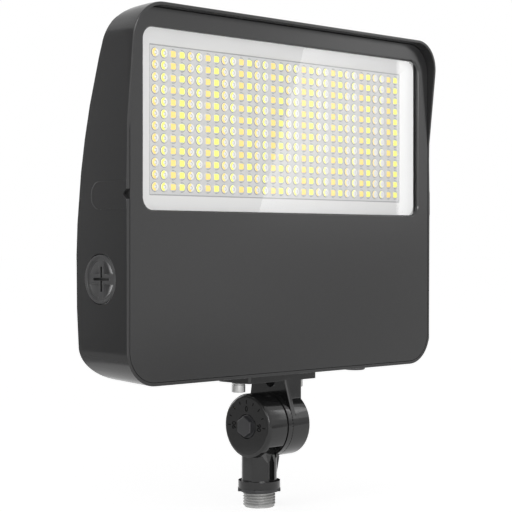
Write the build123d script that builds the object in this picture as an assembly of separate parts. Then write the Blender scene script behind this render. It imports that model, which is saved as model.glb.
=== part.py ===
"""LED flood light on a threaded knuckle, built as separate pieces that seat in each other.

Millimetres. The origin is the centre of the lower free end of the threaded nipple, +Z is up the
nipple, the light shines towards -Y and +X is on the right seen from the front. Depths in the lamp
head are measured backwards (+Y) from its front face. Threads aren't drawn, and small screws and
their holes have six flats instead of round walls.
"""
from build123d import *
import math
import os

# Lamp head: outline, draft of the casting and side profile
HEAD_X = 8.0             # centre of the head; the nipple stands a little to its left
FACE_Y = -23.8           # front face of the head
HEAD_HALF_W = 141.5
HEAD_LOW = 87.9
HEAD_HIGH = 316.4
HEAD_CORNER_R = 22.0
DRAFT = 3.3              # degrees by which every side wall leans in towards the back
BELLY_DEPTH = 51.7       # deepest point of the back
BELLY_Z = 157.2
BACK_SWEEP_R = 360.0     # long arc of the back above the belly
BACK_LOWER_R = 472.0     # and below it
EDGE_ROUND_R = 22.0      # rounding of the back into the top and the bottom
TOP_ROUND_Z = 294.45     # centres of those two roundings
HEEL_ROUND_Z = 111.4
VISOR_REACH = 8.2        # rim that grows forward over the top half as a glare shield
VISOR_START_Z = 239.9
RIM_WALL = 2.0
PAD_LOW = 193.4          # shallow raised pad on each side wall
PAD_HIGH = 210.3
PAD_BACK = 35.5
PAD_PROUD = 0.5
NOTCH_Z = 202.2          # V notch in the left wall where a blade lifts the door
NOTCH_REACH = 4.2
NOTCH_HALF_H = 3.1
BEYOND = 30.0            # how far a cutting block reaches past the head

# Door, window and glass
DOOR_GAP = 0.3
DOOR_T = 3.0
WINDOW_HALF_W = 129.5
WINDOW_LOW = 192.1
WINDOW_HIGH = 303.3
WINDOW_R = 8.0
WINDOW_ROUND = 1.0
LIP_T = 2.0
GLASS_GASKET_T = 0.6
GLASS_T = 3.0
GLASS_HALF_W = 131.5
GLASS_LOW = 190.5
GLASS_HIGH = 304.7
GLASS_R = 9.0
GLASS_WALL_T = 1.7
GLASS_BACK = LIP_T + GLASS_GASKET_T + GLASS_T
RIB_DEPTH = 7.0          # stiffening ribs behind the lower half of the door
RIB_T = 1.6
RIB_SPACING = 60.0
RIB_LOW = 107.0
RIB_HIGH = 185.0

# Light source stack, depths behind the face
REFLECTOR_T = 0.9
APERTURE_HALF_W = 117.5
APERTURE_LOW = 202.2
APERTURE_HIGH = 293.4
APERTURE_DEPTH = 7.9
SHEET_FRONT = 8.4
SHEET_T = 0.9
SHEET_HALF_W = 120.3
SHEET_LOW = 200.2
SHEET_HIGH = 295.8
FLOOR_FRONT = 11.5       # heat sink face that the light board lies on
FLOOR_T = 3.5
BOARD_T = 1.5
BOARD_FRONT = FLOOR_FRONT - BOARD_T
BOARD_HALF_W = 126.5
BOARD_LOW = 194.2
BOARD_HIGH = 301.7
LED_SIZE = 3.6
LED_H = 0.65
LED_COLUMNS = 32
LED_ROWS = 12
LED_PITCH_X = 7.265
LED_PITCH_Z = 7.37
LED_CENTRE_Z = 247.95

# Housing walls, fins and the driver compartment
LEDGE_W = 3.4
SEAL_INSET = 3.7         # middle of the door seal, inwards from the outline of the head
SEAL_W = 1.6
SEAL_DEPTH = 1.8
FIN_GAPS = 15
FIN_FIELD_HALF_W = 132.6
FIN_T = 3.0
ROOT_DEPTH = 44.0        # fin roots behind the driver compartment
WALL_T = 3.0
SHOULDER_LOW = 169.2
SHOULDER_HIGH = 197.2
CAVITY_DRAFT = 1.5
CAVITY_TOE_DEPTH = 28.0
CAVITY_TOE_Z = 93.2
CAVITY_HEEL_Z = 107.2

# Screws of the door, driven from the back through tunnels in the housing
DOOR_SCREW_R = 2.0
DOOR_SCREW_INSET = 6.0
DOOR_BOSS_R = 3.3
TUNNEL_R = 4.1
COLUMN_HALF = 5.2
DOOR_BOSS_END = 9.0
TUNNEL_FLOOR = 12.0
DOOR_SCREW_X = 95.0
DOOR_SCREW_SIDE_Z = 182.2

# Driver case, its screws and the two wires to the light board
DRIVER_FRONT = 10.0
DRIVER_BACK = 38.0
DRIVER_LEFT = -92.0
DRIVER_RIGHT = 84.0
DRIVER_LOW = 111.2
DRIVER_HIGH = 165.2
EAR_W = 12.0
EAR_T = 2.0
EAR_INSET = 4.0
DRIVER_SCREW_R = 1.75
DRIVER_SCREW_INSET = 10.0
BOARD_SCREW_R = 1.5
BOARD_SCREW_INSET = 3.1
BOARD_SCREW_X = 41.0
CONNECTOR_X = 70.0
CONNECTOR_H = 1.7
CONNECTOR_RISE = 0.6
CONNECTOR_TALL = 4.4
LEAD_R = 0.65
LEAD_PITCH = 3.6
LEAD_DEPTH = BOARD_FRONT - CONNECTOR_H / 2
LEAD_EXIT_DEPTH = 14.0
LEAD_BEND_LOW = 178.0
LEAD_BEND_HIGH = 188.0
LEAD_BEND_R = 6.0

# Knuckle: fixed half
PIVOT_Z = 53.5
DISC_R = 21.3
DIAL_X = -11.9
DIAL_ROUND = 2.8
SPLIT_X = 10.35          # plane where the two serrated halves meet
DISC_END_X = 26.9
CUP_R = 15.5
CUP_FLOOR_X = -5.4
SEAM_X = 5.5             # middle of the groove that runs round the fixed half
SEAM_W = 1.2
TEETH = 64
TOOTH_DEPTH = 0.8
TOOTH_HALF_W = 0.6
TOOTH_LAND = 1.0         # plain rim between the cup and the teeth
STEM_R = 11.6
STEM_FLAT_X = 11.0
COLLAR_R = 13.85
COLLAR_LOW = 12.5
COLLAR_HIGH = 17.6
FLARE_LEFT_X = 5.4       # web that widens from the stem into the disc
FLARE_LOW_HALF_Y = 5.2
FLARE_HIGH_HALF_Y = 10.2
FLARE_HIGH = 40.2
GROOVE_HALF_W = 2.8
GROOVE_DEPTH = 2.6
GROOVE_HIGH = 35.0
NUT_LOW = 10.2
NUT_R = 13.0
LUG_R = 14.0
LUG_HALF_W = 3.2
NUT_LEAD = 0.5
NIPPLE_R = 10.65         # 1/2 inch conduit thread, 21.3 mm across
NIPPLE_SEAT_R = 10.4     # part of it that is screwed into the locknut and the stem
NIPPLE_BORE_R = 7.8
NIPPLE_HIGH = 17.2

# Knuckle: tilting half, its plate and the bolts into the head
ARM_Y = 2.05
ARM_HALF_Y = 14.75
ARM_WEB_T = 3.4
PLATE_X = 10.2
PLATE_HALF_W = 31.9
PLATE_LOW = 82.5
PLATE_TOP = 87.5
PLATE_CORNER_R = 2.1
HUB_R = 9.5
HUB_X = 16.4
CUP_END_X = 22.4
WIREWAY_X = (SPLIT_X + DISC_END_X) / 2
WIREWAY_R = 6.0
RELIEF_R = 4.4           # opening from the side of the neck into the wireway
RELIEF_Z = 82.3
GASKET_R = 11.4
GASKET_T = 1.0
GROMMET_R = 7.0
GROMMET_FLANGE_R = 9.0
FLOOR_BLOCK_TOP = 101.0  # thick floor of the head over the plate
FLOOR_BLOCK_HALF_W = 34.0
FLOOR_BLOCK_HALF_Y = 10.5
BRACKET_BOLT_SPAN = 54.6
BRACKET_BOLT_R = 2.5
BRACKET_BOLT_END = 99.0
BRACKET_HEAD_R = 4.45
SPRING_WASHER_T = 1.3

# Pivot bolt
BOLT_R = 4.0
BOLT_RECESS_R = 8.0
BOLT_RECESS_X = DIAL_X + 2.6
PIVOT_WASHER_T = 1.0
FLANGE_R = 7.4
FLANGE_T = 1.4
HEX_HALF = 6.0
BOLT_FACE_X = -14.7
NUT_HALF = 6.5
NUT_START_X = 20.4

# Access cap and selector switches in the left wall
CAP_Y = 2.9
CAP_Z = 151.7
CAP_FACE_X = -132.0
CAP_R = 14.75
CAP_RECESS_R = 15.35
CAP_PLUG_R = 12.5
CAP_BORE_R = 12.56
CAP_HOLLOW_R = 9.5
CAP_POCKET_R = 11.4
CAP_BOWL_R = 40.0        # sphere that dishes the pocket
CAP_BOWL_DEPTH = 2.8
CAP_RIM_W = 1.7
CAP_DISH = 0.6
CAP_GRIP_HALF_W = 2.3    # upright bar of the cross-shaped grip
CAP_GRIP_HALF_H = 3.1    # and its level bar
CAP_SLOT_HALF_L = 7.6    # cross slot for a coin or a blade
CAP_SLOT_HALF_W = 0.8
CAP_SLOT_DEPTH = 2.2
CAP_FLOOR_X = CAP_FACE_X + 4.4
CAP_BOSS_HALF = 17.5
CAP_BOSS_END_X = CAP_FACE_X + 12.5
O_RING_T = 1.0
SELECTOR_X = CAP_FACE_X + 15.5
SELECTOR_BOARD_T = 1.5
SELECTOR_HALF_Y = 11.0
SELECTOR_HALF_Z = 18.5
POST_SPAN = 15.0
SWITCH_SPAN = 4.6
SWITCH_HALF_L = 5.2
SWITCH_HALF_W = 2.2
SWITCH_T = 3.5
KNOB_HALF = 1.0
KNOB_TRAVEL = 2.2

# Breather vent in the floor of the head
VENT_X = 95.0
VENT_SEAT_Z = 88.4
VENT_R = 5.0
VENT_CAP_R = 7.5
VENT_CAP_T = 4.0
VENT_TOP = 95.0

CLEARANCE = 0.05         # radial, between a screw and its hole
SMALL_SIDES = 6          # flats of small screws and their holes
RING_SIDES = 24          # and of hidden seals and washers


def rod(radius, start, end, axis, centre=(0.0, 0.0, 0.0), sides=0):
    """Bar along an axis, from start to end measured along it: round, or with a few flats."""
    direction = {"x": Axis.X, "y": Axis.Y, "z": Axis.Z}[axis].direction
    plane = Plane(origin=Vector(centre) + direction * start, z_dir=direction)
    section = RegularPolygon(radius, sides) if sides else Circle(radius)
    return extrude(plane * section, amount=end - start)


def ring(outer_r, inner_r, start, end, axis, centre, sides=0):
    """Washer or seal on an axis."""
    hole = rod(inner_r, start - 1, end + 1, axis, centre, sides)
    return rod(outer_r, start, end, axis, centre, sides) - hole


def screw(shank_r, shank_start, shank_end, head_r, head_end, axis, centre):
    """Small screw; the head reaches from the shank's start out to head_end."""
    shank = rod(shank_r, min(shank_start, shank_end), max(shank_start, shank_end), axis, centre, SMALL_SIDES)
    head = rod(head_r, min(shank_start, head_end), max(shank_start, head_end), axis, centre, SMALL_SIDES)
    return shank + head


def bar(x0, x1, y0, y1, z0, z1):
    """Plain block between two corners."""
    centre = ((x0 + x1) / 2, (y0 + y1) / 2, (z0 + z1) / 2)
    return Pos(*centre) * Box(x1 - x0, y1 - y0, z1 - z0)


def depth(value):
    """Y of a point that far behind the front face."""
    return FACE_Y + value


def panel(half_w, low, high, radius, front, back, taper=0.0):
    """Rounded rectangle of the head, from one depth to another."""
    plane = Plane(origin=(HEAD_X, depth(front), (low + high) / 2), x_dir=(-1, 0, 0), z_dir=(0, 1, 0))
    outline = plane * RectangleRounded(2 * half_w, high - low, radius)
    return extrude(outline, amount=back - front, taper=taper)


def inset_panel(inset, front, back, taper=0.0):
    """Outline of the head moved inwards, from one depth to another."""
    return panel(HEAD_HALF_W - inset, HEAD_LOW + inset, HEAD_HIGH - inset, HEAD_CORNER_R - inset,
                 front, back, taper)


def plain_panel(half_w, low, high, front, back):
    """Square-cornered rectangle of the head, from one depth to another."""
    return bar(HEAD_X - half_w, HEAD_X + half_w, depth(front), depth(back), low, high)


def side_solid(points, x0, x1):
    """Polygon of (depth, height) points, extruded across the head."""
    corners = [(depth(d), z) for d, z in points]
    face = make_face(Polyline(*corners, close=True))
    return extrude(Plane.YZ.offset(x0) * face, amount=x1 - x0)


def across_head(points):
    """The same, wider than the head."""
    reach = HEAD_HALF_W + BEYOND
    return side_solid(points, HEAD_X - reach, HEAD_X + reach)


def rounding_centre(sweep_r, z):
    """Depth of the centre of an edge rounding that is tangent inside a long arc of the back."""
    return BELLY_DEPTH - sweep_r + math.sqrt((sweep_r - EDGE_ROUND_R) ** 2 - (z - BELLY_Z) ** 2)


def tangent_point(sweep_r, z):
    """Point (Y, Z) where that rounding meets the long arc."""
    centre_d = rounding_centre(sweep_r, z)
    sweep_d = BELLY_DEPTH - sweep_r
    scale = sweep_r / (sweep_r - EDGE_ROUND_R)
    return depth(sweep_d + (centre_d - sweep_d) * scale), BELLY_Z + (z - BELLY_Z) * scale


def back_envelope():
    """Everything in front of the curved back of the head, wider than the head."""
    top_y = depth(rounding_centre(BACK_SWEEP_R, TOP_ROUND_Z))
    heel_y = depth(rounding_centre(BACK_LOWER_R, HEEL_ROUND_Z))
    crest = (top_y, TOP_ROUND_Z + EDGE_ROUND_R)
    toe = (heel_y, HEEL_ROUND_Z - EDGE_ROUND_R)
    knee = tangent_point(BACK_SWEEP_R, TOP_ROUND_Z)
    heel = tangent_point(BACK_LOWER_R, HEEL_ROUND_Z)
    belly = (depth(BELLY_DEPTH), BELLY_Z)
    front = depth(-BEYOND)
    face = make_face([
        RadiusArc(toe, heel, -EDGE_ROUND_R),
        RadiusArc(heel, belly, -BACK_LOWER_R),
        RadiusArc(belly, knee, -BACK_SWEEP_R),
        RadiusArc(knee, crest, -EDGE_ROUND_R),
        Polyline(crest, (top_y, crest[1] + BEYOND), (front, crest[1] + BEYOND), (front, toe[1] - BEYOND),
                 (heel_y, toe[1] - BEYOND), toe),
    ])
    reach = HEAD_HALF_W + BEYOND
    return extrude(Plane.YZ.offset(HEAD_X - reach) * face, amount=2 * reach)


def door_screw_places():
    """Centre (x, z) of each screw that holds the door."""
    inset = RIM_WALL + DOOR_GAP + DOOR_SCREW_INSET
    places = []
    for side in (-1, 1):
        places.append((HEAD_X + side * DOOR_SCREW_X, HEAD_HIGH - inset))
        places.append((HEAD_X + side * (HEAD_HALF_W - inset), DOOR_SCREW_SIDE_Z))
        places.append((HEAD_X + side * DOOR_SCREW_X, HEAD_LOW + inset))
    return places


def board_screw_places():
    """Centre (x, z) of each screw that holds the light board."""
    corner_x = BOARD_HALF_W - BOARD_SCREW_INSET - 0.1
    places = []
    for x in (-corner_x, -BOARD_SCREW_X, BOARD_SCREW_X, corner_x):
        places.append((HEAD_X + x, BOARD_LOW + BOARD_SCREW_INSET))
        places.append((HEAD_X + x, BOARD_HIGH - BOARD_SCREW_INSET))
    return places


def driver_screw_places():
    """Centre (x, z) of the screws through the ears of the driver case."""
    places = []
    for x in (DRIVER_LEFT - EAR_W / 2, DRIVER_RIGHT + EAR_W / 2):
        places.append((x, DRIVER_LOW + DRIVER_SCREW_INSET))
        places.append((x, DRIVER_HIGH - DRIVER_SCREW_INSET))
    return places


def bracket_bolt_places():
    """Centre (x, y) of the two bolts that hold the head on its bracket."""
    return ((PLATE_X - BRACKET_BOLT_SPAN / 2, ARM_Y), (PLATE_X + BRACKET_BOLT_SPAN / 2, ARM_Y))


def lead_xs():
    """X of the two wires that feed the board."""
    return (CONNECTOR_X - LEAD_PITCH / 2, CONNECTOR_X + LEAD_PITCH / 2)


def outer_head():
    """Drafted outline of the head, cut to the curved back, with its two side pads."""
    shell = inset_panel(0, 0, BELLY_DEPTH + 5, DRAFT)
    grown = panel(HEAD_HALF_W + PAD_PROUD, HEAD_LOW, HEAD_HIGH, HEAD_CORNER_R, 0, BELLY_DEPTH, DRAFT)
    reach = HEAD_HALF_W + BEYOND
    band = bar(HEAD_X - reach, HEAD_X + reach, depth(0), depth(PAD_BACK), PAD_LOW, PAD_HIGH)
    band = fillet(band.edges().filter_by(Axis.X).group_by(Axis.Y)[-1], (PAD_HIGH - PAD_LOW) / 2 - 0.3)
    return (shell + (grown & band)) & back_envelope()


def visor():
    """Rim that leans out from the face, further towards the top."""
    outer = inset_panel(0, -VISOR_REACH, 0)
    inner = inset_panel(RIM_WALL, -VISOR_REACH - 1, 1)
    top = HEAD_HIGH + BEYOND
    wedge = across_head([(0, VISOR_START_Z), (-VISOR_REACH, HEAD_HIGH), (-VISOR_REACH, top), (0, top)])
    return (outer - inner) & wedge


def driver_cavity():
    """Hollow behind the door: shallow behind the light board, deep for the driver."""
    inner = ROOT_DEPTH - WALL_T
    slope = math.atan2(SHOULDER_HIGH - SHOULDER_LOW, ROOT_DEPTH - FLOOR_FRONT - FLOOR_T)
    run = math.tan(slope)
    shoulder = SHOULDER_LOW - WALL_T / math.cos(slope) + run * WALL_T
    shelf = shoulder + run * (inner - FLOOR_FRONT)
    top = HEAD_HIGH + BEYOND
    slab = across_head([(DOOR_T, 0), (CAVITY_TOE_DEPTH, 0), (CAVITY_TOE_DEPTH, CAVITY_TOE_Z),
                        (inner, CAVITY_HEEL_Z), (inner, shoulder), (FLOOR_FRONT, shelf), (FLOOR_FRONT, top),
                        (DOOR_T, top)])
    return slab & inset_panel(RIM_WALL + DOOR_GAP + LEDGE_W, DOOR_T, ROOT_DEPTH, CAVITY_DRAFT)


def fin_gaps():
    """Air channels between the cooling fins, open to the back, the top and the bottom."""
    pitch = 2 * FIN_FIELD_HALF_W / FIN_GAPS
    floor_back = FLOOR_FRONT + FLOOR_T
    far = BELLY_DEPTH + BEYOND
    profile = [(ROOT_DEPTH, CAVITY_HEEL_Z + 2), (ROOT_DEPTH, SHOULDER_LOW), (floor_back, SHOULDER_HIGH),
               (floor_back, HEAD_HIGH + BEYOND), (far, HEAD_HIGH + BEYOND), (far, HEAD_LOW - BEYOND / 3)]
    gaps = []
    for index in range(FIN_GAPS):
        left = HEAD_X - FIN_FIELD_HALF_W + index * pitch + FIN_T / 2
        gaps.append(side_solid(profile, left, left + pitch - FIN_T))
    return gaps


def cap_axis_bar(radius, x0, x1, sides=0):
    """Bar on the axis of the access cap."""
    return rod(radius, x0, x1, "x", (0, CAP_Y, CAP_Z), sides)


def housing_bosses(outer):
    """Everything that stands inside the hollow or between the fins to hold another piece."""
    bosses = []
    for x, z in door_screw_places():
        column = bar(x - COLUMN_HALF, x + COLUMN_HALF, depth(DOOR_BOSS_END), depth(BELLY_DEPTH),
                     z - COLUMN_HALF, z + COLUMN_HALF)
        bosses.append(column & outer)
    cap_boss = bar(CAP_FACE_X - 5, CAP_BOSS_END_X, CAP_Y - CAP_BOSS_HALF, CAP_Y + CAP_BOSS_HALF,
                   CAP_Z - CAP_BOSS_HALF, CAP_Z + CAP_BOSS_HALF)
    bosses.append(cap_boss & outer)
    bosses.append(bar(PLATE_X - FLOOR_BLOCK_HALF_W, PLATE_X + FLOOR_BLOCK_HALF_W, -FLOOR_BLOCK_HALF_Y,
                      FLOOR_BLOCK_HALF_Y, PLATE_TOP + 2, FLOOR_BLOCK_TOP))
    for x, z in driver_screw_places():
        bosses.append(rod(4.0, DRIVER_BACK, ROOT_DEPTH - 1, "y", (x, FACE_Y, z), SMALL_SIDES))
    bosses.append(rod(VENT_CAP_R, VENT_SEAT_Z, VENT_TOP, "z", (VENT_X, 0, 0), 12))
    pad = bar(PLATE_X - PLATE_HALF_W, PLATE_X + PLATE_HALF_W, ARM_Y - ARM_HALF_Y, ARM_Y + ARM_HALF_Y,
              PLATE_TOP, PLATE_TOP + 4)
    bosses.append(fillet(pad.edges().filter_by(Axis.Z), PLATE_CORNER_R))
    return bosses


def housing_holes():
    """Seats, tunnels and screw holes of the housing."""
    holes = []
    for x, z in door_screw_places():
        at = (x, FACE_Y, z)
        holes.append(rod(DOOR_BOSS_R + 0.2, DOOR_T - 1, DOOR_BOSS_END, "y", at, SMALL_SIDES))
        holes.append(rod(DOOR_SCREW_R + 0.25, DOOR_BOSS_END - 1, TUNNEL_FLOOR + 1, "y", at, SMALL_SIDES))
        holes.append(rod(TUNNEL_R, TUNNEL_FLOOR, BELLY_DEPTH + 5, "y", at, 12))
    for x, z in board_screw_places():
        holes.append(rod(BOARD_SCREW_R + CLEARANCE, FLOOR_FRONT - 1, FLOOR_FRONT + 3.2, "y", (x, FACE_Y, z),
                         SMALL_SIDES))
    for x, z in driver_screw_places():
        holes.append(rod(DRIVER_SCREW_R + CLEARANCE, DRIVER_BACK - 1, ROOT_DEPTH - 1.5, "y", (x, FACE_Y, z),
                         SMALL_SIDES))
    for x, y in bracket_bolt_places():
        holes.append(rod(BRACKET_BOLT_R + CLEARANCE, PLATE_TOP - 1, FLOOR_BLOCK_TOP - 1, "z", (x, y, 0),
                         SMALL_SIDES))
    holes.append(rod(GROMMET_R, PLATE_TOP - 1, FLOOR_BLOCK_TOP + 1, "z", (WIREWAY_X, 0, 0)))
    holes.append(rod(VENT_R, VENT_SEAT_Z - 1, VENT_TOP + 1, "z", (VENT_X, 0, 0), 12))
    holes.append(cap_axis_bar(CAP_RECESS_R, CAP_FACE_X - 10, CAP_FLOOR_X))
    holes.append(cap_axis_bar(CAP_BORE_R, CAP_FLOOR_X - 1, CAP_BOSS_END_X + 5))
    half = NOTCH_HALF_H * (1 + 1 / NOTCH_REACH)
    holes.append(side_solid([(-1, NOTCH_Z - half), (NOTCH_REACH, NOTCH_Z), (-1, NOTCH_Z + half)],
                            HEAD_X - HEAD_HALF_W - BEYOND, HEAD_X))
    return holes


def rear_housing():
    """Die-cast back: rim, fins, driver compartment, bosses and screw tunnels."""
    outer = outer_head()
    body = outer - fin_gaps() - driver_cavity()
    body = body + housing_bosses(outer) + visor()
    body = body - inset_panel(RIM_WALL, -1, DOOR_T) - seal_ring(SEAL_W / 2 + 0.1)
    return body - housing_holes()


def seal_ring(half_band):
    """Square-section ring in the ledge under the edge of the door."""
    outer = inset_panel(SEAL_INSET - half_band, DOOR_T, DOOR_T + SEAL_DEPTH)
    return outer - inset_panel(SEAL_INSET + half_band, DOOR_T - 1, DOOR_T + SEAL_DEPTH + 1)


def frame_gasket():
    """Silicone ring in the groove of the housing ledge."""
    return seal_ring(SEAL_W / 2)


def front_frame():
    """Door: flat plate with the rounded window, a wall round the glass, bosses and ribs behind."""
    plate = inset_panel(RIM_WALL + DOOR_GAP, 0, DOOR_T)
    window = panel(WINDOW_HALF_W - WINDOW_ROUND, WINDOW_LOW + WINDOW_ROUND, WINDOW_HIGH - WINDOW_ROUND,
                   WINDOW_R, -1, GLASS_BACK)
    grow = CLEARANCE + 0.25
    glass_room = panel(GLASS_HALF_W + grow, GLASS_LOW - grow, GLASS_HIGH + grow, GLASS_R, LIP_T,
                       GLASS_BACK + 1)
    grow = grow + GLASS_WALL_T
    glass_wall = panel(GLASS_HALF_W + grow, GLASS_LOW - grow, GLASS_HIGH + grow, GLASS_R + grow, DOOR_T - 1,
                       GLASS_BACK)
    door = plate + glass_wall
    for x, z in door_screw_places():
        door = door + rod(DOOR_BOSS_R, DOOR_T - 1, DOOR_BOSS_END, "y", (x, FACE_Y, z), SMALL_SIDES)
    door = door - window - glass_room
    lip_edges = [edge for edge in door.edges().group_by(Axis.Y)[0]
                 if abs(edge.center().X - HEAD_X) < WINDOW_HALF_W
                 and WINDOW_LOW < edge.center().Z < WINDOW_HIGH]
    door = chamfer(lip_edges, WINDOW_ROUND)
    for order in (-1.5, -0.5, 0.5, 1.5):
        x = HEAD_X + order * RIB_SPACING
        door = door + bar(x - RIB_T / 2, x + RIB_T / 2, depth(DOOR_T - 1), depth(RIB_DEPTH), RIB_LOW,
                          RIB_HIGH)
    middle = (RIB_LOW + RIB_HIGH) / 2
    door = door + plain_panel(WINDOW_HALF_W - 4, middle - RIB_T / 2, middle + RIB_T / 2, DOOR_T - 1,
                              RIB_DEPTH)
    holes = [rod(DOOR_SCREW_R + CLEARANCE, DOOR_T + 0.6, DOOR_BOSS_END + 1, "y", (x, FACE_Y, z),
                 SMALL_SIDES) for x, z in door_screw_places()]
    return door - holes


def glass_gasket():
    """Flat ring between the lip of the door and the glass."""
    outer = panel(GLASS_HALF_W, GLASS_LOW, GLASS_HIGH, GLASS_R, LIP_T, LIP_T + GLASS_GASKET_T)
    return outer - panel(WINDOW_HALF_W - 0.4, WINDOW_LOW + 0.4, WINDOW_HIGH - 0.4, WINDOW_R, 0, GLASS_BACK)


def lens_glass():
    """Tempered flat glass."""
    return panel(GLASS_HALF_W, GLASS_LOW, GLASS_HIGH, GLASS_R, LIP_T + GLASS_GASKET_T, GLASS_BACK)


def funnel(grow, front, back):
    """Four slopes from the edge of the window in to the light sheet, with mitred corners."""
    rim = 1.0 - grow
    sections = []
    for at, half_w, low, high in (
            (front, WINDOW_HALF_W - rim, WINDOW_LOW + rim, WINDOW_HIGH - rim),
            (back, APERTURE_HALF_W + grow, APERTURE_LOW - grow, APERTURE_HIGH + grow)):
        plane = Plane(origin=(HEAD_X, depth(at), (low + high) / 2), x_dir=(-1, 0, 0), z_dir=(0, 1, 0))
        sections.append(plane * Rectangle(2 * half_w, high - low))
    return loft(sections, ruled=True)


def reflector():
    """Thin white frame that slopes from the glass down to the light sheet."""
    flange = plain_panel(GLASS_HALF_W - 1.5, GLASS_LOW + 1.5, GLASS_HIGH - 1.5, GLASS_BACK,
                         GLASS_BACK + REFLECTOR_T)
    skin = funnel(REFLECTOR_T, GLASS_BACK, SHEET_FRONT)
    bore = funnel(0, GLASS_BACK, APERTURE_DEPTH)
    throat = plain_panel(APERTURE_HALF_W, APERTURE_LOW, APERTURE_HIGH, APERTURE_DEPTH, SHEET_FRONT)
    return flange + skin - bore - throat


def optic_sheet():
    """Clear moulded sheet that lies over the light sources."""
    return plain_panel(SHEET_HALF_W, SHEET_LOW, SHEET_HIGH, SHEET_FRONT, SHEET_FRONT + SHEET_T)


def led_board():
    """Aluminium-core board with its screw holes."""
    board = plain_panel(BOARD_HALF_W, BOARD_LOW, BOARD_HIGH, BOARD_FRONT, FLOOR_FRONT)
    holes = [rod(BOARD_SCREW_R + 0.2, BOARD_FRONT - 1, FLOOR_FRONT + 1, "y", (x, FACE_Y, z), SMALL_SIDES)
             for x, z in board_screw_places()]
    return board - holes


def led_packages(first_column):
    """Every second column of light sources, as separate chips on the board."""
    chips = []
    for column in range(first_column, LED_COLUMNS, 2):
        x = HEAD_X + (column - (LED_COLUMNS - 1) / 2) * LED_PITCH_X
        for row in range(LED_ROWS):
            z = LED_CENTRE_Z + (row - (LED_ROWS - 1) / 2) * LED_PITCH_Z
            chips.append(Pos(x, depth(BOARD_FRONT - LED_H / 2), z) * Box(LED_SIZE, LED_H, LED_SIZE))
    return Compound(children=chips)


def board_screws():
    """Low-headed screws of the light board."""
    return Compound(children=[screw(BOARD_SCREW_R, BOARD_FRONT, FLOOR_FRONT + 3, 2.7, BOARD_FRONT - 1.5, "y",
                                    (x, FACE_Y, z)) for x, z in board_screw_places()])


def board_connector():
    """Push-in connector at the lower right of the light board."""
    low = BOARD_LOW + CONNECTOR_RISE
    block = bar(CONNECTOR_X - 4, CONNECTOR_X + 4, depth(BOARD_FRONT - CONNECTOR_H), depth(BOARD_FRONT),
                low, low + CONNECTOR_TALL)
    half = LEAD_R + 0.07
    sockets = [bar(x - half, x + half, depth(LEAD_DEPTH) - half, depth(LEAD_DEPTH) + half, low - 1, low + 2.5)
               for x in lead_xs()]
    return block - sockets


def board_leads():
    """Two wires from the top of the driver up to the board's connector."""
    leads = []
    for x in lead_xs():
        route = [(x, depth(LEAD_EXIT_DEPTH), DRIVER_HIGH), (x, depth(LEAD_EXIT_DEPTH), LEAD_BEND_LOW),
                 (x, depth(LEAD_DEPTH), LEAD_BEND_HIGH),
                 (x, depth(LEAD_DEPTH), BOARD_LOW + CONNECTOR_RISE + 2)]
        section = Plane(origin=route[0], z_dir=(0, 0, 1)) * RegularPolygon(LEAD_R, 6)
        leads.append(sweep(section, path=FilletPolyline(*route, radius=LEAD_BEND_R)))
    return Compound(children=leads)


def driver_case():
    """Metal case of the driver: rounded box with a mounting ear at each end."""
    y0, y1 = depth(DRIVER_FRONT), depth(DRIVER_BACK)
    box = bar(DRIVER_LEFT, DRIVER_RIGHT, y0, y1, DRIVER_LOW, DRIVER_HIGH)
    box = fillet(box.edges().filter_by(Axis.X), 2.0)
    ears = bar(DRIVER_LEFT - EAR_W, DRIVER_RIGHT + EAR_W, y1 - EAR_T, y1, DRIVER_LOW + EAR_INSET,
               DRIVER_HIGH - EAR_INSET)
    holes = [rod(DRIVER_SCREW_R + 0.35, DRIVER_BACK - 5, DRIVER_BACK + 1, "y", (x, FACE_Y, z), SMALL_SIDES)
             for x, z in driver_screw_places()]
    return box + ears - holes


def driver_screws():
    """Four screws of the driver case."""
    seat = DRIVER_BACK - EAR_T
    return Compound(children=[screw(DRIVER_SCREW_R, seat, ROOT_DEPTH - 2.5, 3.4, seat - 2.4, "y",
                                    (x, FACE_Y, z)) for x, z in driver_screw_places()])


def door_screws():
    """Screws that pull the door onto its gasket, reached through the tunnels."""
    seat = TUNNEL_FLOOR + 0.8
    return Compound(children=[screw(DOOR_SCREW_R, seat, DOOR_T + 1.2, 3.5, seat + 2.8, "y", (x, FACE_Y, z))
                              for x, z in door_screw_places()])


def door_screw_washers():
    """Sealing washers under the heads of the door screws."""
    return Compound(children=[ring(3.9, DOOR_SCREW_R + CLEARANCE, TUNNEL_FLOOR, TUNNEL_FLOOR + 0.8, "y",
                                   (x, FACE_Y, z), SMALL_SIDES) for x, z in door_screw_places()])


def breather_vent():
    """Pressure-equalising plug in the floor of the head."""
    plug = rod(VENT_R - CLEARANCE, VENT_SEAT_Z, VENT_TOP, "z", (VENT_X, 0, 0), 12)
    cap = rod(VENT_CAP_R, VENT_SEAT_Z - VENT_CAP_T, VENT_SEAT_Z, "z", (VENT_X, 0, 0), 12)
    return plug + chamfer(cap.edges().group_by(Axis.Z)[0], 0.8)


def wire_grommet():
    """Rubber bush where the supply wires enter the head."""
    centre = (WIREWAY_X, 0, 0)
    sleeve = rod(GROMMET_R - CLEARANCE, PLATE_TOP, FLOOR_BLOCK_TOP, "z", centre)
    flange = rod(GROMMET_FLANGE_R, FLOOR_BLOCK_TOP, FLOOR_BLOCK_TOP + 2, "z", centre, 12)
    return sleeve + flange - rod(WIREWAY_R - 1.5, PLATE_TOP - 1, FLOOR_BLOCK_TOP + 3, "z", centre, 12)


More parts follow.
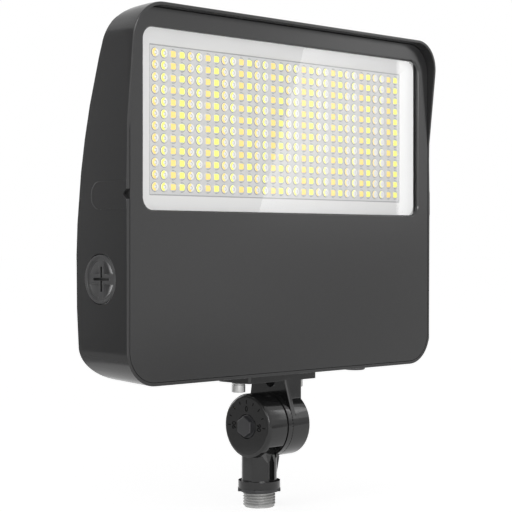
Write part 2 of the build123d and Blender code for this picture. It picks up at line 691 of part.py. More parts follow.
def cap_cross(half_l, half_w, half_h, x1):
    """Two crossed bars on the face of the access cap, down to x1."""
    x0 = CAP_FACE_X - 2
    level = bar(x0, x1, CAP_Y - half_l, CAP_Y + half_l, CAP_Z - half_h, CAP_Z + half_h)
    return level + bar(x0, x1, CAP_Y - half_w, CAP_Y + half_w, CAP_Z - half_l, CAP_Z + half_l)


def cap_bowl():
    """Dished pocket in the face of the access cap, as a turned block."""
    deepest = CAP_FACE_X + CAP_BOWL_DEPTH
    edge_x = deepest - CAP_BOWL_R + math.sqrt(CAP_BOWL_R ** 2 - CAP_POCKET_R ** 2)
    front_x = CAP_FACE_X - 1
    outline = Polyline((deepest, 0), (front_x, 0), (front_x, CAP_POCKET_R), (edge_x, CAP_POCKET_R))
    dish = RadiusArc((edge_x, CAP_POCKET_R), (deepest, 0), CAP_BOWL_R)
    return Pos(0, CAP_Y, CAP_Z) * revolve(make_face([outline, dish]), Axis.X)


def screw_cap():
    """Access cap: raised rim, dished pocket with a slotted cross-shaped grip, hollow plug inside."""
    head_back = CAP_FLOOR_X - O_RING_T
    cap = cap_axis_bar(CAP_R, CAP_FACE_X, head_back)
    cap = cap + cap_axis_bar(CAP_PLUG_R, head_back, CAP_BOSS_END_X - 1)
    cap = cap - cap_axis_bar(CAP_R - CAP_RIM_W, CAP_FACE_X - 1, CAP_FACE_X + CAP_DISH)
    cap = cap - cap_axis_bar(CAP_HOLLOW_R, CAP_FACE_X + 3.6, CAP_BOSS_END_X, 12)
    grip = cap_cross(CAP_R, CAP_GRIP_HALF_W, CAP_GRIP_HALF_H, CAP_FACE_X + CAP_BOWL_DEPTH + 1)
    slot = cap_cross(CAP_SLOT_HALF_L, CAP_SLOT_HALF_W, CAP_SLOT_HALF_W, CAP_FACE_X + CAP_SLOT_DEPTH)
    return cap - (cap_bowl() - grip) - slot


def cap_o_ring():
    """Seal squeezed between the cap and the floor of its recess."""
    return ring(CAP_R - 0.4, CAP_PLUG_R + 0.2, CAP_FLOOR_X - O_RING_T, CAP_FLOOR_X, "x", (0, CAP_Y, CAP_Z),
                RING_SIDES)


def selector_post_centres():
    """Points on the axes of the two posts that carry the selector board."""
    return ((0, CAP_Y, CAP_Z - POST_SPAN), (0, CAP_Y, CAP_Z + POST_SPAN))


def selector_board():
    """Small board on two posts behind the access cap."""
    board = bar(SELECTOR_X, SELECTOR_X + SELECTOR_BOARD_T, CAP_Y - SELECTOR_HALF_Y, CAP_Y + SELECTOR_HALF_Y,
                CAP_Z - SELECTOR_HALF_Z, CAP_Z + SELECTOR_HALF_Z)
    holes = [rod(1.4, SELECTOR_X - 1, SELECTOR_X + 3, "x", at, SMALL_SIDES) for at in selector_post_centres()]
    return board - holes


def selector_posts():
    """Spacers between the boss of the cap and the selector board."""
    return Compound(children=[ring(2.2, 1.3, CAP_BOSS_END_X, SELECTOR_X, "x", at, SMALL_SIDES)
                              for at in selector_post_centres()])


def selector_switch_bodies():
    """Cases of the two slide switches, one for power and one for colour."""
    bodies = []
    half_slot = KNOB_TRAVEL + KNOB_HALF + 0.1
    for side in (-1, 1):
        z = CAP_Z + side * SWITCH_SPAN
        case = bar(SELECTOR_X - SWITCH_T, SELECTOR_X, CAP_Y - SWITCH_HALF_L, CAP_Y + SWITCH_HALF_L,
                   z - SWITCH_HALF_W, z + SWITCH_HALF_W)
        slot = bar(SELECTOR_X - SWITCH_T - 1, SELECTOR_X - 2, CAP_Y - half_slot, CAP_Y + half_slot,
                   z - KNOB_HALF - 0.1, z + KNOB_HALF + 0.1)
        bodies.append(case - slot)
    return Compound(children=bodies)


def selector_knob(side):
    """Knob of one slide switch."""
    z = CAP_Z + side * SWITCH_SPAN
    return bar(SELECTOR_X - SWITCH_T - 2, SELECTOR_X - 2.1, CAP_Y - KNOB_HALF, CAP_Y + KNOB_HALF,
               z - KNOB_HALF, z + KNOB_HALF)


def pivot_bar(radius, x0, x1, sides=0):
    """Bar on the tilt axis."""
    return rod(radius, x0, x1, "x", (0, 0, PIVOT_Z), sides)


def tooth_grooves(x):
    """Radial V grooves of the serration, to be cut from a face at x."""
    groove = make_face(Polyline((-TOOTH_HALF_W, 0), (0, TOOTH_DEPTH), (TOOTH_HALF_W, 0), (0, -TOOTH_DEPTH),
                                close=True))
    start = CUP_R + TOOTH_LAND
    plane = Plane(origin=(x, 0, start), x_dir=(0, 1, 0), z_dir=(0, 0, 1))
    rib = extrude(plane * groove, amount=DISC_R + 1 - start)
    return [Pos(0, 0, PIVOT_Z) * Rot(index * 360 / TEETH, 0, 0) * rib for index in range(TEETH)]


def dial_disc():
    """Turned disc of the fixed half, with its dial edge eased by two flats."""
    ease = DIAL_ROUND * (1 - math.sqrt(0.5))
    profile = Polyline((DIAL_X, 0), (DIAL_X, DISC_R - DIAL_ROUND), (DIAL_X + ease, DISC_R - ease),
                       (DIAL_X + DIAL_ROUND, DISC_R), (SPLIT_X, DISC_R), (SPLIT_X, 0), close=True)
    return Pos(0, 0, PIVOT_Z) * revolve(make_face(profile), Axis.X)


def lower_arm():
    """Fixed half of the knuckle: dial cup on a hollow stem with a collar."""
    disc = dial_disc()
    stem = rod(STEM_R, COLLAR_LOW, PIVOT_Z - 8, "z") & bar(-STEM_FLAT_X, SPLIT_X, -20, 20, 0, PIVOT_Z)
    collar = rod(COLLAR_R, COLLAR_LOW, COLLAR_HIGH, "z")
    flare = make_face(Polyline((-FLARE_LOW_HALF_Y, COLLAR_HIGH), (-FLARE_HIGH_HALF_Y, FLARE_HIGH),
                               (FLARE_HIGH_HALF_Y, FLARE_HIGH), (FLARE_LOW_HALF_Y, COLLAR_HIGH), close=True))
    web = extrude(Plane.YZ.offset(FLARE_LEFT_X) * flare, amount=SPLIT_X - FLARE_LEFT_X)
    arm = disc + stem + collar + web - pivot_bar(CUP_R, CUP_FLOOR_X, SPLIT_X + 1)
    arm = arm - ring(DISC_R + 2, DISC_R - SEAM_W, SEAM_X - SEAM_W / 2, SEAM_X + SEAM_W / 2, "x",
                     (0, 0, PIVOT_Z))
    pocket = Pos(-1.4, -15.2, 35.8) * Rot(-20, 0, 0) * Box(13.2, 12, 8.4)
    groove = bar(-GROOVE_HALF_W, GROOVE_HALF_W, -STEM_R - 1, -STEM_R + GROOVE_DEPTH, COLLAR_HIGH, GROOVE_HIGH)
    arm = arm - pocket - groove
    arm = arm - rod(NIPPLE_BORE_R, COLLAR_LOW - 1, PIVOT_Z - 12, "z", sides=12)
    arm = arm - rod(NIPPLE_SEAT_R + CLEARANCE, COLLAR_LOW - 1, NIPPLE_HIGH, "z")
    arm = arm - pivot_bar(BOLT_R + 0.1, DIAL_X - 1, 0) - pivot_bar(BOLT_RECESS_R, DIAL_X - 1, BOLT_RECESS_X)
    return arm - tooth_grooves(SPLIT_X)


def web_outline():
    """Outline (y, z) of the web that runs from the plate down to tangents of the disc."""
    height = PLATE_LOW - PIVOT_Z
    corners = []
    for side in (-1, 1):
        edge = ARM_HALF_Y + side * ARM_Y
        reach = math.hypot(edge, height)
        angle = math.atan2(height, edge) - math.acos(DISC_R / reach)
        tangent = (side * DISC_R * math.cos(angle), PIVOT_Z + DISC_R * math.sin(angle))
        corners.append([(side * edge, PLATE_LOW + 1), tangent, (side * CUP_R, PIVOT_Z)])
    return Polyline(*corners[0], *reversed(corners[1]), close=True)


def upper_arm():
    """Tilting half of the knuckle: cup, hollow neck and the plate under the head."""
    face_x = SPLIT_X + CLEARANCE
    disc = pivot_bar(DISC_R, face_x, DISC_END_X)
    disc = chamfer(disc.edges().group_by(Axis.X)[-1], 1.0)
    front, back = ARM_Y - ARM_HALF_Y, ARM_Y + ARM_HALF_Y
    neck = bar(face_x, DISC_END_X, front, back, PIVOT_Z, PLATE_LOW + 1)
    web = extrude(Plane.YZ.offset(face_x) * make_face(web_outline()), amount=ARM_WEB_T)
    plate = bar(PLATE_X - PLATE_HALF_W, PLATE_X + PLATE_HALF_W, front, back, PLATE_LOW, PLATE_TOP)
    plate = fillet(plate.edges().filter_by(Axis.Z), PLATE_CORNER_R)
    arm = disc + neck + web + plate
    arm = arm - pivot_bar(CUP_R, face_x - 1, CUP_END_X) + pivot_bar(HUB_R, HUB_X, CUP_END_X + 1, 12)
    centre = (WIREWAY_X, 0, 0)
    arm = arm - rod(WIREWAY_R, PIVOT_Z + 12, PLATE_TOP + 1, "z", centre)
    arm = arm - rod(GASKET_R, PLATE_TOP - GASKET_T, PLATE_TOP + 1, "z", centre)
    arm = arm - rod(RELIEF_R, face_x - 1, WIREWAY_X, "x", (0, 0, RELIEF_Z), 12)
    for x, y in bracket_bolt_places():
        arm = arm - rod(BRACKET_BOLT_R + 0.25, PLATE_LOW - 1, PLATE_TOP + 1, "z", (x, y, 0), 12)
    arm = arm - pivot_bar(BOLT_R + 0.1, HUB_X - 1, DISC_END_X + 1)
    arm = arm - nut_prism(NUT_HALF + 0.15, NUT_START_X, DISC_END_X + 1)
    return arm


def nut_prism(apothem, x0, x1):
    """Hexagonal bar on the tilt axis, given half its width across flats."""
    return pivot_bar(apothem / math.cos(math.pi / 6), x0, x1, 6)


def bracket_gasket():
    """Flat seal round the wire hole, let into the plate."""
    return ring(GASKET_R - CLEARANCE, WIREWAY_R + 0.6, PLATE_TOP - GASKET_T, PLATE_TOP, "z",
                (WIREWAY_X, 0, 0), RING_SIDES)


def bracket_bolts():
    """Two socket screws up through the plate into the head."""
    seat = PLATE_LOW - SPRING_WASHER_T
    bolts = []
    for x, y in bracket_bolt_places():
        shank = rod(BRACKET_BOLT_R, seat, BRACKET_BOLT_END, "z", (x, y, 0), SMALL_SIDES)
        head = rod(BRACKET_HEAD_R, seat - 5, seat, "z", (x, y, 0), 16)
        bolts.append(shank + head - rod(2.3, seat - 6, seat - 2.5, "z", (x, y, 0), 6))
    return Compound(children=bolts)


def bracket_washers():
    """Spring washers under the heads of the bracket bolts."""
    return Compound(children=[ring(4.4, BRACKET_BOLT_R + 0.1, PLATE_LOW - SPRING_WASHER_T, PLATE_LOW, "z",
                                   (x, y, 0), 16) for x, y in bracket_bolt_places()])


def pivot_bolt():
    """Flanged hexagon bolt on the tilt axis; its head stands in the middle of the dial."""
    seat = BOLT_RECESS_X - PIVOT_WASHER_T
    hexagon = chamfer(nut_prism(HEX_HALF, BOLT_FACE_X, seat).edges().group_by(Axis.X)[0], 0.5)
    return hexagon + pivot_bar(FLANGE_R, seat - FLANGE_T, seat) + pivot_bar(BOLT_R, seat, DISC_END_X - 0.2)


def pivot_washer():
    """Flat washer between the bolt head and the floor of its recess."""
    return ring(FLANGE_R + 0.3, BOLT_R + 0.15, BOLT_RECESS_X - PIVOT_WASHER_T, BOLT_RECESS_X, "x",
                (0, 0, PIVOT_Z), RING_SIDES)


def pivot_nut():
    """Nut held in the hexagonal pocket of the tilting half."""
    nut = nut_prism(NUT_HALF, NUT_START_X, DISC_END_X - 0.6)
    return nut - pivot_bar(BOLT_R + CLEARANCE, HUB_X, DISC_END_X)


def conduit_nipple():
    """Threaded nipple, drawn at its thread's outer diameter."""
    tube = rod(NIPPLE_R, 0, NUT_LOW, "z") + rod(NIPPLE_SEAT_R, NUT_LOW, NIPPLE_HIGH, "z")
    return tube - rod(NIPPLE_BORE_R, -1, NIPPLE_HIGH + 1, "z")


def locknut():
    """Ring nut with four lugs that locks the nipple to the box it enters."""
    body = rod(NUT_R, NUT_LOW, COLLAR_LOW, "z", sides=24)
    for turn in range(4):
        lug = Rot(0, 0, 45 + 90 * turn) * bar(9, LUG_R, -LUG_HALF_W, LUG_HALF_W, NUT_LOW, COLLAR_LOW)
        body = body + lug
    body = body - rod(NIPPLE_SEAT_R + CLEARANCE, 0, COLLAR_HIGH, "z")
    return chamfer(body.edges().group_by(Axis.Z)[0].filter_by(GeomType.CIRCLE), NUT_LEAD)


PIECES = {
    "conduit_nipple": conduit_nipple,
    "locknut": locknut,
    "lower_arm": lower_arm,
    "pivot_bolt": pivot_bolt,
    "pivot_washer": pivot_washer,
    "pivot_nut": pivot_nut,
    "upper_arm": upper_arm,
    "bracket_gasket": bracket_gasket,
    "bracket_bolts": bracket_bolts,
    "bracket_washers": bracket_washers,
    "rear_housing": rear_housing,
    "wire_grommet": wire_grommet,
    "breather_vent": breather_vent,
    "frame_gasket": frame_gasket,
    "front_frame": front_frame,
    "door_screws": door_screws,
    "door_screw_washers": door_screw_washers,
    "glass_gasket": glass_gasket,
    "lens_glass": lens_glass,
    "reflector": reflector,
    "optic_sheet": optic_sheet,
    "led_board": led_board,
    "leds_warm": lambda: led_packages(0),
    "leds_cool": lambda: led_packages(1),
    "board_screws": board_screws,
    "board_connector": board_connector,
    "board_leads": board_leads,
    "driver_case": driver_case,
    "driver_screws": driver_screws,
    "screw_cap": screw_cap,
    "cap_o_ring": cap_o_ring,
    "selector_board": selector_board,
    "selector_posts": selector_posts,
    "selector_switch_bodies": selector_switch_bodies,
    "power_knob": lambda: selector_knob(1),
    "colour_knob": lambda: selector_knob(-1),
}

os.makedirs("parts", exist_ok=True)
for name, build in PIECES.items():
    export_step(build(), f"parts/{name}.step")
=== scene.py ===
"""Dressed model of an LED flood light on a threaded knuckle, seen from its front left."""
import math

import bmesh
import bpy
from mathutils import Matrix, Vector
from mathutils.geometry import intersect_point_line


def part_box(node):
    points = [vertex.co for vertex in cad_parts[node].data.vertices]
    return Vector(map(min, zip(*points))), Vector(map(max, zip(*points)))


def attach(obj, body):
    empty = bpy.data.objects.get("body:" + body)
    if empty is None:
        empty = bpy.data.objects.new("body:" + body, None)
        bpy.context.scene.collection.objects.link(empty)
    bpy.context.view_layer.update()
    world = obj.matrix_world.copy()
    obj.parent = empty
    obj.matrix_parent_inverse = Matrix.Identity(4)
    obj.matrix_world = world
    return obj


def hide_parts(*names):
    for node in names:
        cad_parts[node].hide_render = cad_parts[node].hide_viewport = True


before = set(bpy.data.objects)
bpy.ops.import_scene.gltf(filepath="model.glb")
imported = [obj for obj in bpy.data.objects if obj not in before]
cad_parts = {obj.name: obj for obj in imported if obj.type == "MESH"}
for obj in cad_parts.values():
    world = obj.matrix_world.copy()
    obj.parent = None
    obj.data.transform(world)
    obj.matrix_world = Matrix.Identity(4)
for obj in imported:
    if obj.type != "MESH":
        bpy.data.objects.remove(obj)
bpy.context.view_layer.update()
MM = 0.001


# The studio: a level camera in front of the left corner of the lamp, a white floor and world, two
# soft lamps, and cards that only show in gloss, the first of them as the glare on the glass.
def lift_selection():
    """Leaves edit mode and deselects every object."""
    if bpy.context.object and bpy.context.object.mode != "OBJECT":
        bpy.ops.object.mode_set(mode="OBJECT")
    bpy.ops.object.select_all(action="DESELECT")


class Link:
    """Output of a shader node; signs between links and numbers add the Math nodes."""

    def __init__(self, finish, socket):
        self.finish = finish
        self.socket = socket

    def math(self, operation, first, second=0.0):
        return self.finish.node("ShaderNodeMath", {"operation": operation}, {0: first, 1: second})

    def __add__(self, other):
        return self.math("ADD", self, other)

    def __radd__(self, other):
        return self.math("ADD", other, self)

    def __sub__(self, other):
        return self.math("SUBTRACT", self, other)

    def __rsub__(self, other):
        return self.math("SUBTRACT", other, self)

    def __mul__(self, other):
        return self.math("MULTIPLY", self, other)

    def __rmul__(self, other):
        return self.math("MULTIPLY", other, self)

    def __truediv__(self, other):
        return self.math("DIVIDE", self, other)

    def __rtruediv__(self, other):
        return self.math("DIVIDE", other, self)

    def __pow__(self, other):
        return self.math("POWER", self, other)

    def __mod__(self, other):
        return self.math("FLOORED_MODULO", self, other)

    def __lt__(self, other):
        return self.math("LESS_THAN", self, other)

    def __gt__(self, other):
        return self.math("GREATER_THAN", self, other)

    def most(self, other):
        return self.math("MAXIMUM", self, other)


class Finish:
    """A procedural material: its Principled shader and the nodes that feed it."""

    def __init__(self, name, colour=(0.8, 0.8, 0.8), roughness=0.5, **constants):
        self.material = bpy.data.materials.new(name)
        self.material.use_nodes = True
        self.tree = self.material.node_tree
        self.shader = self.tree.nodes["Principled BSDF"]
        self.output = self.tree.nodes["Material Output"]
        self.feed(self.shader.inputs["Base Color"], colour)
        self.feed(self.shader.inputs["Roughness"], roughness)
        for place, value in constants.items():
            self.feed(self.shader.inputs[place.replace("_", " ")], value)

    def feed(self, socket, value):
        if isinstance(value, Link):
            self.tree.links.new(value.socket, socket)
        elif isinstance(value, tuple) and len(value) == 3 and socket.type == "RGBA":
            socket.default_value = (*value, 1.0)
        else:
            socket.default_value = value

    def node(self, kind, settings=None, sockets=None, output=0):
        made = self.tree.nodes.new(kind)
        for place, value in (settings or {}).items():
            setattr(made, place, value)
        for place, value in (sockets or {}).items():
            self.feed(made.inputs[place], value)
        return Link(self, made.outputs[output])

    def place(self, axis=None):
        """Object coordinates, or one of them as a number."""
        whole = self.node("ShaderNodeTexCoord", output="Object")
        if axis is None:
            return whole
        return self.node("ShaderNodeSeparateXYZ", sockets={0: whole}, output=axis)

    def noise(self, per_metre, detail=2.0):
        """Noise between 0 and 1 with that many cells to the metre."""
        return self.node("ShaderNodeTexNoise", sockets={"Vector": self.place(), "Scale": per_metre,
                                                        "Detail": detail})

    def ramp(self, value, start, end, first=0.0, last=1.0):
        """Number that goes from first to last while value goes from start to end."""
        return self.node("ShaderNodeMapRange", sockets={"Value": value, "From Min": start, "From Max": end,
                                                        "To Min": first, "To Max": last})

    def blend(self, factor, first, second):
        """Colour that goes from first to second."""
        return self.node("ShaderNodeMix", {"data_type": "RGBA"}, {0: factor, 6: first, 7: second}, output=2)

    def tint(self, first, second, per_metre, detail=2.0):
        """Base colour that wanders between two colours; its plain value is the one in the middle."""
        self.feed(self.shader.inputs["Base Color"], tuple((a + b) / 2 for a, b in zip(first, second)))
        self.feed(self.shader.inputs["Base Color"], self.blend(self.noise(per_metre, detail), first, second))

    def rough(self, least, spread, per_metre):
        """Roughness that wanders above the least one by up to the spread, with a plain value between."""
        self.feed(self.shader.inputs["Roughness"], least + spread / 2)
        self.feed(self.shader.inputs["Roughness"], least + spread * self.noise(per_metre))

    def dent(self, depth, per_metre, detail=2.0):
        """Uneven surface of that depth in metres, through the Normal socket."""
        height = self.noise(per_metre, detail)
        bump = self.node("ShaderNodeBump", sockets={"Height": height, "Distance": depth})
        self.feed(self.shader.inputs["Normal"], bump)


def light_path_mask(finish):
    """1 for rays that come from the camera, or that metal or glass sends on."""
    seen = finish.node("ShaderNodeLightPath", output="Is Camera Ray")
    mirrored = finish.node("ShaderNodeLightPath", output="Is Glossy Ray")
    passed = finish.node("ShaderNodeLightPath", output="Is Transmission Ray")
    return seen.most(mirrored).most(passed)


# In pixels: the side of the photograph, and how far eye level lies above its middle.
PHOTO_SIDE = 512
EYE_LEVEL_RISE = 12
lift_selection()
bpy.ops.object.camera_add(location=(-0.7024, -0.6994, 0.1728), rotation=(math.pi / 2, 0, -math.pi / 4))
camera = bpy.context.object
camera.data.lens = 105.7
camera.data.sensor_width = 36.0
camera.data.shift_y = -EYE_LEVEL_RISE / PHOTO_SIDE
camera.data.clip_end = 60.0
bpy.context.scene.camera = camera
bpy.context.scene.view_settings.view_transform = "Standard"

FLOOR_HALF = 12.0
FLOOR_GLOW = 0.735
FLOOR_DIP = 0.115
bpy.ops.mesh.primitive_plane_add(size=2 * FLOOR_HALF)
studio_floor = bpy.context.object
studio_floor.name = "studio_floor"
floor_white = Finish("floor_white", (0.7, 0.7, 0.7), 0.9, Specular_IOR_Level=0.0)
from_foot = (floor_white.place("X") * floor_white.place("X")
             + floor_white.place("Y") * floor_white.place("Y"))
evened = light_path_mask(floor_white) * (FLOOR_GLOW - FLOOR_DIP / (1.0 + from_foot))
floor_glow = floor_white.node("ShaderNodeEmission", sockets={"Color": (1.0, 1.0, 1.0), "Strength": evened})
floor_sum = floor_white.node("ShaderNodeAddShader",
                             sockets={0: Link(floor_white, floor_white.shader.outputs[0]), 1: floor_glow})
floor_white.feed(floor_white.output.inputs["Surface"], floor_sum)
studio_floor.data.materials.append(floor_white.material)

AMBIENT = 0.38
world = bpy.data.worlds.new("studio")
bpy.context.scene.world = world
world.use_nodes = True
world_nodes = world.node_tree.nodes
world_links = world.node_tree.links
world_path = world_nodes.new("ShaderNodeLightPath")
seen_or_sharp = world_nodes.new("ShaderNodeMath")
seen_or_sharp.operation = "MAXIMUM"
seen_or_clear = world_nodes.new("ShaderNodeMath")
seen_or_clear.operation = "MAXIMUM"
strength = world_nodes.new("ShaderNodeMapRange")
strength.inputs["To Min"].default_value = AMBIENT
strength.inputs["To Max"].default_value = 1.0
world_links.new(world_path.outputs["Is Camera Ray"], seen_or_sharp.inputs[0])
world_links.new(world_path.outputs["Is Glossy Ray"], seen_or_sharp.inputs[1])
world_links.new(seen_or_sharp.outputs[0], seen_or_clear.inputs[0])
world_links.new(world_path.outputs["Is Transmission Ray"], seen_or_clear.inputs[1])
world_links.new(seen_or_clear.outputs[0], strength.inputs["Value"])
world_links.new(strength.outputs[0], world_nodes["Background"].inputs["Strength"])
world_nodes["Background"].inputs["Color"].default_value = (1.0, 1.0, 1.0, 1.0)


def soft_lamp(name, location, target, power, width, height):
    """Rectangular soft box that points at target."""
    lift_selection()
    bpy.ops.object.light_add(type="AREA", location=location)
    lamp = bpy.context.object
    lamp.name = name
    lamp.data.shape = "RECTANGLE"
    lamp.data.size = width
    lamp.data.size_y = height
    lamp.data.energy = power
    lamp.rotation_euler = (Vector(target) - Vector(location)).to_track_quat("-Z", "Y").to_euler()
    return lamp


front_lamp = soft_lamp("front_lamp", (-0.8, -1.6, 0.85), (0.0, 0.0, 0.2), 21.0, 1.0, 0.8)
front_lamp.data.use_shadow = False
soft_lamp("side_lamp", (-1.9, 0.1, 0.7), (0.0, 0.0, 0.15), 4.0, 1.0, 0.8)


def reflected_card(name, near, far, brightness, slant=0.0):
    """Upright card between two corners that only shows in gloss; brightness(finish) gives its light."""
    lift_selection()
    bpy.ops.mesh.primitive_plane_add(size=2)
    card = bpy.context.object
    card.name = name
    for corner in card.data.vertices:
        side = near if corner.co.x < 0 else far
        high = corner.co.y > 0
        lean = slant if high and side is near else 0.0
        corner.co = (side[0] + lean, side[1], far[2] if high else near[2])
    finish = Finish(name + "_light")
    glow = finish.node("ShaderNodeEmission", sockets={"Strength": brightness(finish)})
    finish.feed(finish.output.inputs["Surface"], glow)
    card.data.materials.append(finish.material)
    card.visible_camera = False
    card.visible_diffuse = False
    card.visible_shadow = False
    card.visible_transmission = False


def glare_fade(finish):
    """Brightest beside the slanted edge of the glare, fading to its right, and bright at its right end."""
    fading = finish.ramp(finish.place("X") - 0.36 * finish.place("Z"), 0.58, 0.86, 2.25, 0.6)
    return fading + finish.ramp(finish.place("X"), 0.932, 0.942, 0.0, 2.6)


def side_fade(finish):
    """Grey that lightens upwards."""
    return finish.ramp(finish.place("Z"), 0.05, 0.4, 0.09, 0.31)


def low_fade(finish):
    """White that greys towards the floor on its left, and an even grey on its right."""
    upwards = finish.ramp(finish.place("Z"), 0.05, 0.095, 0.42, 1.0)
    return upwards + (0.72 - upwards) * finish.ramp(finish.place("X"), 0.34, 0.52)


def margin_fade(finish):
    """Grey that darkens upwards."""
    return finish.ramp(finish.place("Z"), 0.22, 0.36, 0.6, 0.3)


reflected_card("glare_panel", (0.6601, -0.7, 0.2138), (1.25, -0.7, 1.0), glare_fade, slant=0.305)
# Greys below and to the right of the glare, for the door, and one low on the left, for the dial.
reflected_card("low_card", (0.2, -0.45, 0.0), (0.8, -0.45, 0.195), low_fade)
reflected_card("margin_card", (0.666, -0.45, 0.195), (0.8, -0.45, 0.42), margin_fade)
reflected_card("dial_card", (-0.30, 0.05, 0.0), (-0.05, 0.30, 0.08), lambda finish: 0.5)
# A dark wall on the right, a grey one and a bright strip beyond the left side, and one behind the camera.
reflected_card("right_card", (1.2, -0.3, 0.0), (1.2, 1.6, 0.9), lambda finish: 0.02)
reflected_card("left_card", (-0.70, 0.30, 0.0), (-0.33, 0.537, 0.55), side_fade)
reflected_card("left_strip", (-0.33, 0.537, 0.02), (-0.20, 0.62, 0.45), lambda finish: 5.0)
reflected_card("camera_strip", (-1.70, -1.50, 0.0), (-1.50, -1.70, 0.9), lambda finish: 2.0)


# Conduit nipple: a zinc-plated steel tube, 1/2 inch, with a rolled thread of 14 turns to the inch.
# It is screwed into the collar and its lower end goes into a box.
def pick(kind, test):
    """In edit mode, selects the verts, edges or faces that pass a test."""
    bpy.ops.mesh.select_mode(type={"verts": "VERT", "edges": "EDGE", "faces": "FACE"}[kind])
    bpy.ops.mesh.select_all(action="DESELECT")
    open_mesh = bmesh.from_edit_mesh(bpy.context.object.data)
    for part in getattr(open_mesh, kind):
        part.select_set(bool(test(part)))
    open_mesh.select_flush_mode()
    bmesh.update_edit_mesh(bpy.context.object.data)


def reshape(move):
    """In edit mode, sends every selected point through move."""
    open_mesh = bmesh.from_edit_mesh(bpy.context.object.data)
    for point in open_mesh.verts:
        if point.select:
            point.co = move(point.co)
    bmesh.update_edit_mesh(bpy.context.object.data)


def draw_line(name, points):
    """Opens a new mesh with a line of points drawn in it, in metres, and stays in edit mode."""
    lift_selection()
    bpy.ops.mesh.primitive_plane_add(size=0.001)
    bpy.context.object.name = name
    bpy.ops.object.mode_set(mode="EDIT")
    bpy.ops.mesh.merge(type="CENTER")
    reshape(lambda co: Vector(points[0]))
    for before, after in zip(points, points[1:]):
        step = Vector(after) - Vector(before)
        bpy.ops.mesh.extrude_vertices_move(TRANSFORM_OT_translate={"value": step})
    return bpy.context.object


def tidy_skin(smooth_angle):
    """Merges the points of the active piece, points its faces outwards and shades it."""
    bpy.ops.object.mode_set(mode="EDIT")
    bpy.ops.mesh.select_all(action="SELECT")
    bpy.ops.mesh.remove_doubles(threshold=1e-6)
    bpy.ops.mesh.normals_make_consistent(inside=False)
    bpy.ops.object.mode_set(mode="OBJECT")
    bpy.ops.object.shade_smooth_by_angle(angle=math.radians(smooth_angle))


def give(piece, finish, body, nodes=()):
    """Sets a piece's finish, its body and the nodes it stands for."""
    piece.data.materials.clear()
    piece.data.materials.append(finish.material)
    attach(piece, body)
    if nodes:
        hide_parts(*nodes)


def apply_modifiers(piece):
    """Applies every modifier of the piece, in order."""
    bpy.context.view_layer.objects.active = piece
    for modifier in list(piece.modifiers):
        bpy.ops.object.modifier_apply(modifier=modifier.name)


THREAD_PITCH = 1.814 * MM
THREAD_TURNS = 9
THREAD_STEPS = 40
CREST_R = 10.65 * MM
ROOT_R = 9.85 * MM
THREAD_END = 12.4 * MM
NIPPLE_TOP = 17.2 * MM
SEAT_R = 10.4 * MM
LEAD_R = 9.5 * MM
NIPPLE_BORE = 7.8 * MM
BORE_EASE = 0.5 * MM

thread = draw_line("threaded_nipple", [
    (ROOT_R, 0, -THREAD_PITCH), (CREST_R, 0, -0.60 * THREAD_PITCH), (CREST_R, 0, -0.44 * THREAD_PITCH),
    (ROOT_R, 0, -0.04 * THREAD_PITCH), (ROOT_R, 0, 0)])
bpy.ops.object.mode_set(mode="OBJECT")
turns = thread.modifiers.new("turns", "SCREW")
turns.screw_offset = THREAD_PITCH
turns.iterations = THREAD_TURNS
turns.steps = THREAD_STEPS
turns.render_steps = THREAD_STEPS
turns.use_merge_vertices = True
apply_modifiers(thread)
bpy.ops.object.mode_set(mode="EDIT")
bpy.ops.mesh.select_all(action="SELECT")
bpy.ops.mesh.remove_doubles(threshold=1e-6)
for height, clear_low in ((0.0, True), (THREAD_END, False)):
    bpy.ops.mesh.select_all(action="SELECT")
    bpy.ops.mesh.bisect(plane_co=(0, 0, height), plane_no=(0, 0, 1), clear_inner=clear_low,
                        clear_outer=not clear_low)


def lead_in(co):
    """Eases the first turns of the thread into a cone."""
    radius = math.hypot(co.x, co.y)
    allowed = LEAD_R + 0.8 * co.z
    scale = min(1.0, allowed / radius)
    return Vector((co.x * scale, co.y * scale, max(co.z, 0.0)))


bpy.ops.mesh.select_all(action="SELECT")
reshape(lead_in)


def ring_to(radius, height):
    """Moves the selected points onto a level circle about the Z axis."""
    reshape(lambda co: Vector((co.x, co.y, 0)).normalized() * radius + Vector((0, 0, height)))


pick("edges", lambda e: e.is_boundary and min(point.co.z for point in e.verts) > THREAD_END - 1e-5)
bpy.ops.mesh.extrude_edges_move()
ring_to(SEAT_R, NIPPLE_TOP)
bpy.ops.mesh.extrude_edges_move()
ring_to(NIPPLE_BORE, NIPPLE_TOP)
bpy.ops.mesh.extrude_edges_move()
ring_to(NIPPLE_BORE, 0.8 * MM)
pick("edges", lambda e: e.is_boundary and max(point.co.z for point in e.verts) < 1e-6)
bpy.ops.mesh.extrude_edges_move()
ring_to(NIPPLE_BORE + BORE_EASE, 0.0)
pick("edges", lambda e: e.is_boundary)
bpy.ops.mesh.bridge_edge_loops()
tidy_skin(28)

zinc = Finish("bright_zinc", Metallic=1.0)
zinc.tint((0.32, 0.32, 0.315), (0.42, 0.42, 0.415), 260.0, detail=3.0)
zinc.rough(0.40, 0.12, 900.0)
zinc.dent(0.008 * MM, 2500.0)
give(thread, zinc, "stand", ["conduit_nipple"])


# Locknut: a stamped steel ring with four lugs, in black oxide. It is screwed on the nipple and run
# up tight under the collar.
EASED_ANGLE = math.radians(30)
FLAT_ANGLE = math.radians(3)


def gap_between(first, second):
    """Smallest distance from an end of one edge to the other edge."""
    gaps = []
    for edge, other in ((first, second), (second, first)):
        start, end = (corner.co for corner in other.verts)
        for corner in edge.verts:
            share = intersect_point_line(corner.co, start, end)[1]
            gaps.append((start.lerp(end, min(1.0, max(0.0, share))) - corner.co).length)
    return min(gaps)


